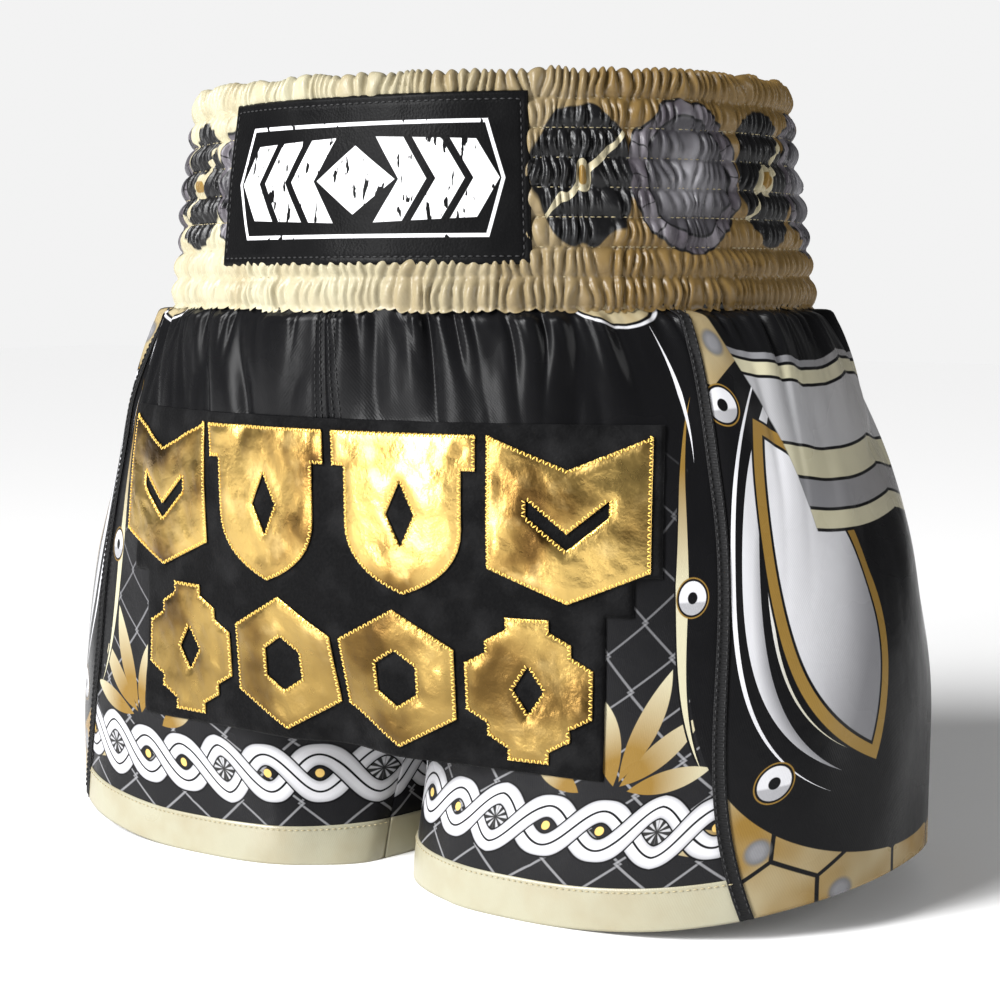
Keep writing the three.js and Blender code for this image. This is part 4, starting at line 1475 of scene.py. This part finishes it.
class SHORTS_OT_foil(bpy.types.Operator):
    """Gold foil blocks with a stitched edge"""

    bl_idname = "shorts.foil"
    bl_label = "Foil blocks"

    def execute(self, context):
        a = context.scene.shorts_applique
        blocks, _ = applique_layout()
        for number, (name, outlines) in enumerate(blocks):

            def lift(flat):
                inset = edge_distance(flat, outlines)
                x, y = flat[:, 0], flat[:, 1]
                crumple = 0.0007 * noise(x / 0.014, y / 0.017, 71 + number)
                crumple += 0.0003 * noise(x / 0.005 + y / 0.012, y / 0.007, 91 + number)
                return 0.0026 + 0.0007 * ramp(inset, 0, 0.004) + crumple * ramp(inset, 0.001, 0.006)

            mesh = laid_mesh(f"foil_block_{name}", outlines, 0.0016, lift)
            obj = link(mesh, "foil", replaces=[f"foil_{name}"])
            thicken(obj, FOIL)

            starts, ends, offs = [], [], []
            for ring in outlines:
                ring = np.array(ring)
                x, y = ring[:, 0], ring[:, 1]
                area = 0.5 * np.sum(x * np.roll(y, -1) - np.roll(x, -1) * y)
                inward = 1 if area > 0 else -1
                inward = inward if not offs else -inward  # the first outline is the rim, the rest are holes
                closed = np.concatenate([ring, ring[:1]])
                gone = np.concatenate([[0], np.cumsum(np.linalg.norm(np.diff(closed, axis=0), axis=1))])
                count = int(gone[-1] / a.stitch_pitch)
                t = (np.arange(count) + 0.5) / count * gone[-1]
                on_outline = lambda t: np.stack(
                    [np.interp(t % gone[-1], gone, closed[:, k]) for k in (0, 1)], -1
                )
                at = on_outline(t)
                tangent = on_outline(t + 0.0003) - on_outline(t - 0.0003)
                tangent /= np.maximum(np.linalg.norm(tangent, axis=1, keepdims=True), 1e-9)
                inside = np.stack([-tangent[:, 1], tangent[:, 0]], -1) * inward
                slant = np.where(np.arange(count) % 2, 1, -1)[:, None] * tangent * 0.00055
                p0 = at - inside * 0.0002 - slant
                p1 = at + inside * 0.0018 + slant
                q0, n0 = front_point(p0[:, 0], p0[:, 1], lift(p0) + 0.00005)
                q1, _ = front_point(p1[:, 0], p1[:, 1], lift(p1) + 0.00012)
                starts.append(q0)
                ends.append(q1)
                offs.append(n0)
            starts, ends, offs = (np.concatenate(v) for v in (starts, ends, offs))
            mesh = stitches(f"foil_stitching_{name}", starts, ends, 0.00036, offs)
            link(mesh, "gold_thread")
        return {"FINISHED"}


# ---- Topstitching -------------------------------------------------------


class SHORTS_OT_topstitch(bpy.types.Operator):
    """Rows of stitches along the seams and hems"""

    bl_idname = "shorts.topstitch"
    bl_label = "Topstitching"

    def execute(self, context):
        b = context.scene.shorts_body

        def on_body(around, level, side, lift):
            p = body(around, level)
            n = normals(body, np.clip(around, 0, 1), np.clip(level, 0, 1))
            p = moved_off(p, n, loose(around, level, side, p)[0] + lift)
            p[:, 0] *= side
            n[:, 0] *= side
            return p, n

        lines = {"black": [], "gold": []}
        down = np.linspace(0.012, 0.995, 500)
        band = lambda around: 1 - (b.hem_band - 0.0018) / (BODY_LENGTH - hem_height(hem_angle(around)))
        for _, side in SIDES:
            for edge, near, limit in ((0.0, 0.0024, 0.70), (0.0, 0.0052, 0.70), (1.0, 0.0024, 0.72)):
                level = down[down < limit]
                around = np.full_like(level, abs(edge - near / HALF_ROUND))
                lines["black"].append(on_body(around, level, side, 0.0002))
            for flip in (0, 1):
                for near in (-0.0017, 0.0017):
                    around = seam_at(down) + near / HALF_ROUND
                    around = 1 - around if flip else around
                    lines["black"].append(on_body(around, down, side, 0.0012))
                around = np.linspace(0.004, b.side_seam + b.seam_slant - 0.009, 500)
                around = 1 - around if flip else around
                lines["gold"].append(on_body(around, band(around), side, 0.0007))
        for key, finish, slot in (
            ("black", "black_thread", "seam_tape"), ("gold", "pale_thread", "gold_satin"),
        ):
            parts = [running_stitch(p, n, 0.0030, 0.0007, 0.0) for p, n in lines[key]]
            starts, ends, offs = (np.concatenate(v) for v in zip(*parts))
            mesh = stitches(f"topstitching_{key}", starts, ends, 0.0003, offs)
            link(mesh, finish)
        return {"FINISHED"}


# ---- Stage --------------------------------------------------------------


def area_light(name, place, aim, size, power):
    light = bpy.data.lights.new(name, "AREA")
    light.shape = "RECTANGLE"
    light.size, light.size_y = size
    light.energy = power
    obj = bpy.data.objects.new(name, light)
    obj.location = place
    obj.rotation_euler = (Vector(aim) - Vector(place)).to_track_quat("-Z", "Y").to_euler()
    bpy.context.scene.collection.objects.link(obj)
    return obj


class SHORTS_OT_stage(bpy.types.Operator):
    """Pale floor, soft lights and the camera"""

    bl_idname = "shorts.stage"
    bl_label = "Stage"

    def execute(self, context):
        scene = context.scene
        s = scene.shorts_stage
        bm = bmesh.new()
        bmesh.ops.create_grid(bm, x_segments=1, y_segments=1, size=6)
        mesh = bpy.data.meshes.new("floor")
        bm.to_mesh(mesh)
        bm.free()
        g = Graph("Pale floor")
        mesh.materials.append(g.surface(Base_Color=(0.98, 0.98, 0.98), Roughness=0.8))
        floor = bpy.data.objects.new("floor", mesh)
        scene.collection.objects.link(floor)

        world = bpy.data.worlds.new("Studio")
        world.use_nodes = True
        nodes, links = world.node_tree.nodes, world.node_tree.links
        background = nodes["Background"]
        background.inputs["Color"].default_value = (1, 1, 1, 1)
        seen = nodes.new("ShaderNodeMath")
        seen.operation = "MULTIPLY_ADD"
        seen.inputs[1].default_value = 0.725  # what the camera sees more
        seen.inputs[2].default_value = 0.17  # what lights the object
        links.new(nodes.new("ShaderNodeLightPath").outputs["Is Camera Ray"], seen.inputs[0])
        links.new(seen.outputs[0], background.inputs["Strength"])
        scene.world = world

        sun = bpy.data.lights.new("Sun", "SUN")
        sun.energy = 4.0
        sun.angle = math.radians(26)
        sun_object = bpy.data.objects.new("Sun", sun)
        scene.collection.objects.link(sun_object)

        a = s.azimuth
        right = Vector((math.cos(a), math.sin(a), 0))
        toward = Vector((math.sin(a), -math.cos(a), 0))
        at = lambda r, f, z: right * r + toward * f + Vector((0, 0, z))
        sun_object.rotation_euler = at(-1.05, 0.58, 0.95).to_track_quat("Z", "Y").to_euler()
        area_light("Left strip", at(-1.1, 0.9, 0.6), (0, 0, 0.18), (0.3, 1.2), 26)
        area_light("Right strip", at(1.3, 0.7, 0.5), (0, 0, 0.15), (0.2, 1.0), 7)

        camera = bpy.data.cameras.new("Camera")
        camera.lens = s.lens
        camera.sensor_width = 36
        obj = bpy.data.objects.new("Camera", camera)
        obj.location = at(0, s.distance, s.height)
        aim = at(0.0088, 0, s.aim)
        obj.rotation_euler = (aim - obj.location).to_track_quat("-Z", "Y").to_euler()
        scene.collection.objects.link(obj)
        scene.camera = obj
        scene.view_settings.view_transform = "Standard"
        return {"FINISHED"}


class SHORTS_PT_panel(bpy.types.Panel):
    """Lists the steps and their sizes"""

    bl_label = "Boxing shorts"
    bl_idname = "SHORTS_PT_panel"
    bl_space_type = "VIEW_3D"
    bl_region_type = "UI"
    bl_category = "Shorts"

    def draw(self, context):
        for step in STEPS:
            self.layout.operator(step.bl_idname)
        for group in GROUPS:
            box = self.layout.box()
            settings = getattr(context.scene, GROUPS[group])
            for key in group.__annotations__:
                box.prop(settings, key)


GROUPS = {
    ShortsBody: "shorts_body",
    ShortsWaist: "shorts_waist",
    ShortsApplique: "shorts_applique",
    ShortsColours: "shorts_colours",
    ShortsStage: "shorts_stage",
}
STEPS = (
    SHORTS_OT_stage,
    SHORTS_OT_panels,
    SHORTS_OT_gusset,
    SHORTS_OT_hems,
    SHORTS_OT_tapes,
    SHORTS_OT_waistband,
    SHORTS_OT_elastics,
    SHORTS_OT_label,
    SHORTS_OT_backing,
    SHORTS_OT_foil,
    SHORTS_OT_topstitch,
)


def register():
    for group, name in GROUPS.items():
        bpy.utils.register_class(group)
        setattr(bpy.types.Scene, name, PointerProperty(type=group))
    for step in (*STEPS, SHORTS_PT_panel):
        bpy.utils.register_class(step)


def unregister():
    for step in (SHORTS_PT_panel, *reversed(STEPS)):
        bpy.utils.unregister_class(step)
    for group, name in GROUPS.items():
        delattr(bpy.types.Scene, name)
        bpy.utils.unregister_class(group)


def main():
    register()
    for step in STEPS:
        group, name = step.bl_idname.split(".")
        getattr(getattr(bpy.ops, group), name)()
    bpy.context.view_layer.update()


if __name__ == "__main__":
    main()
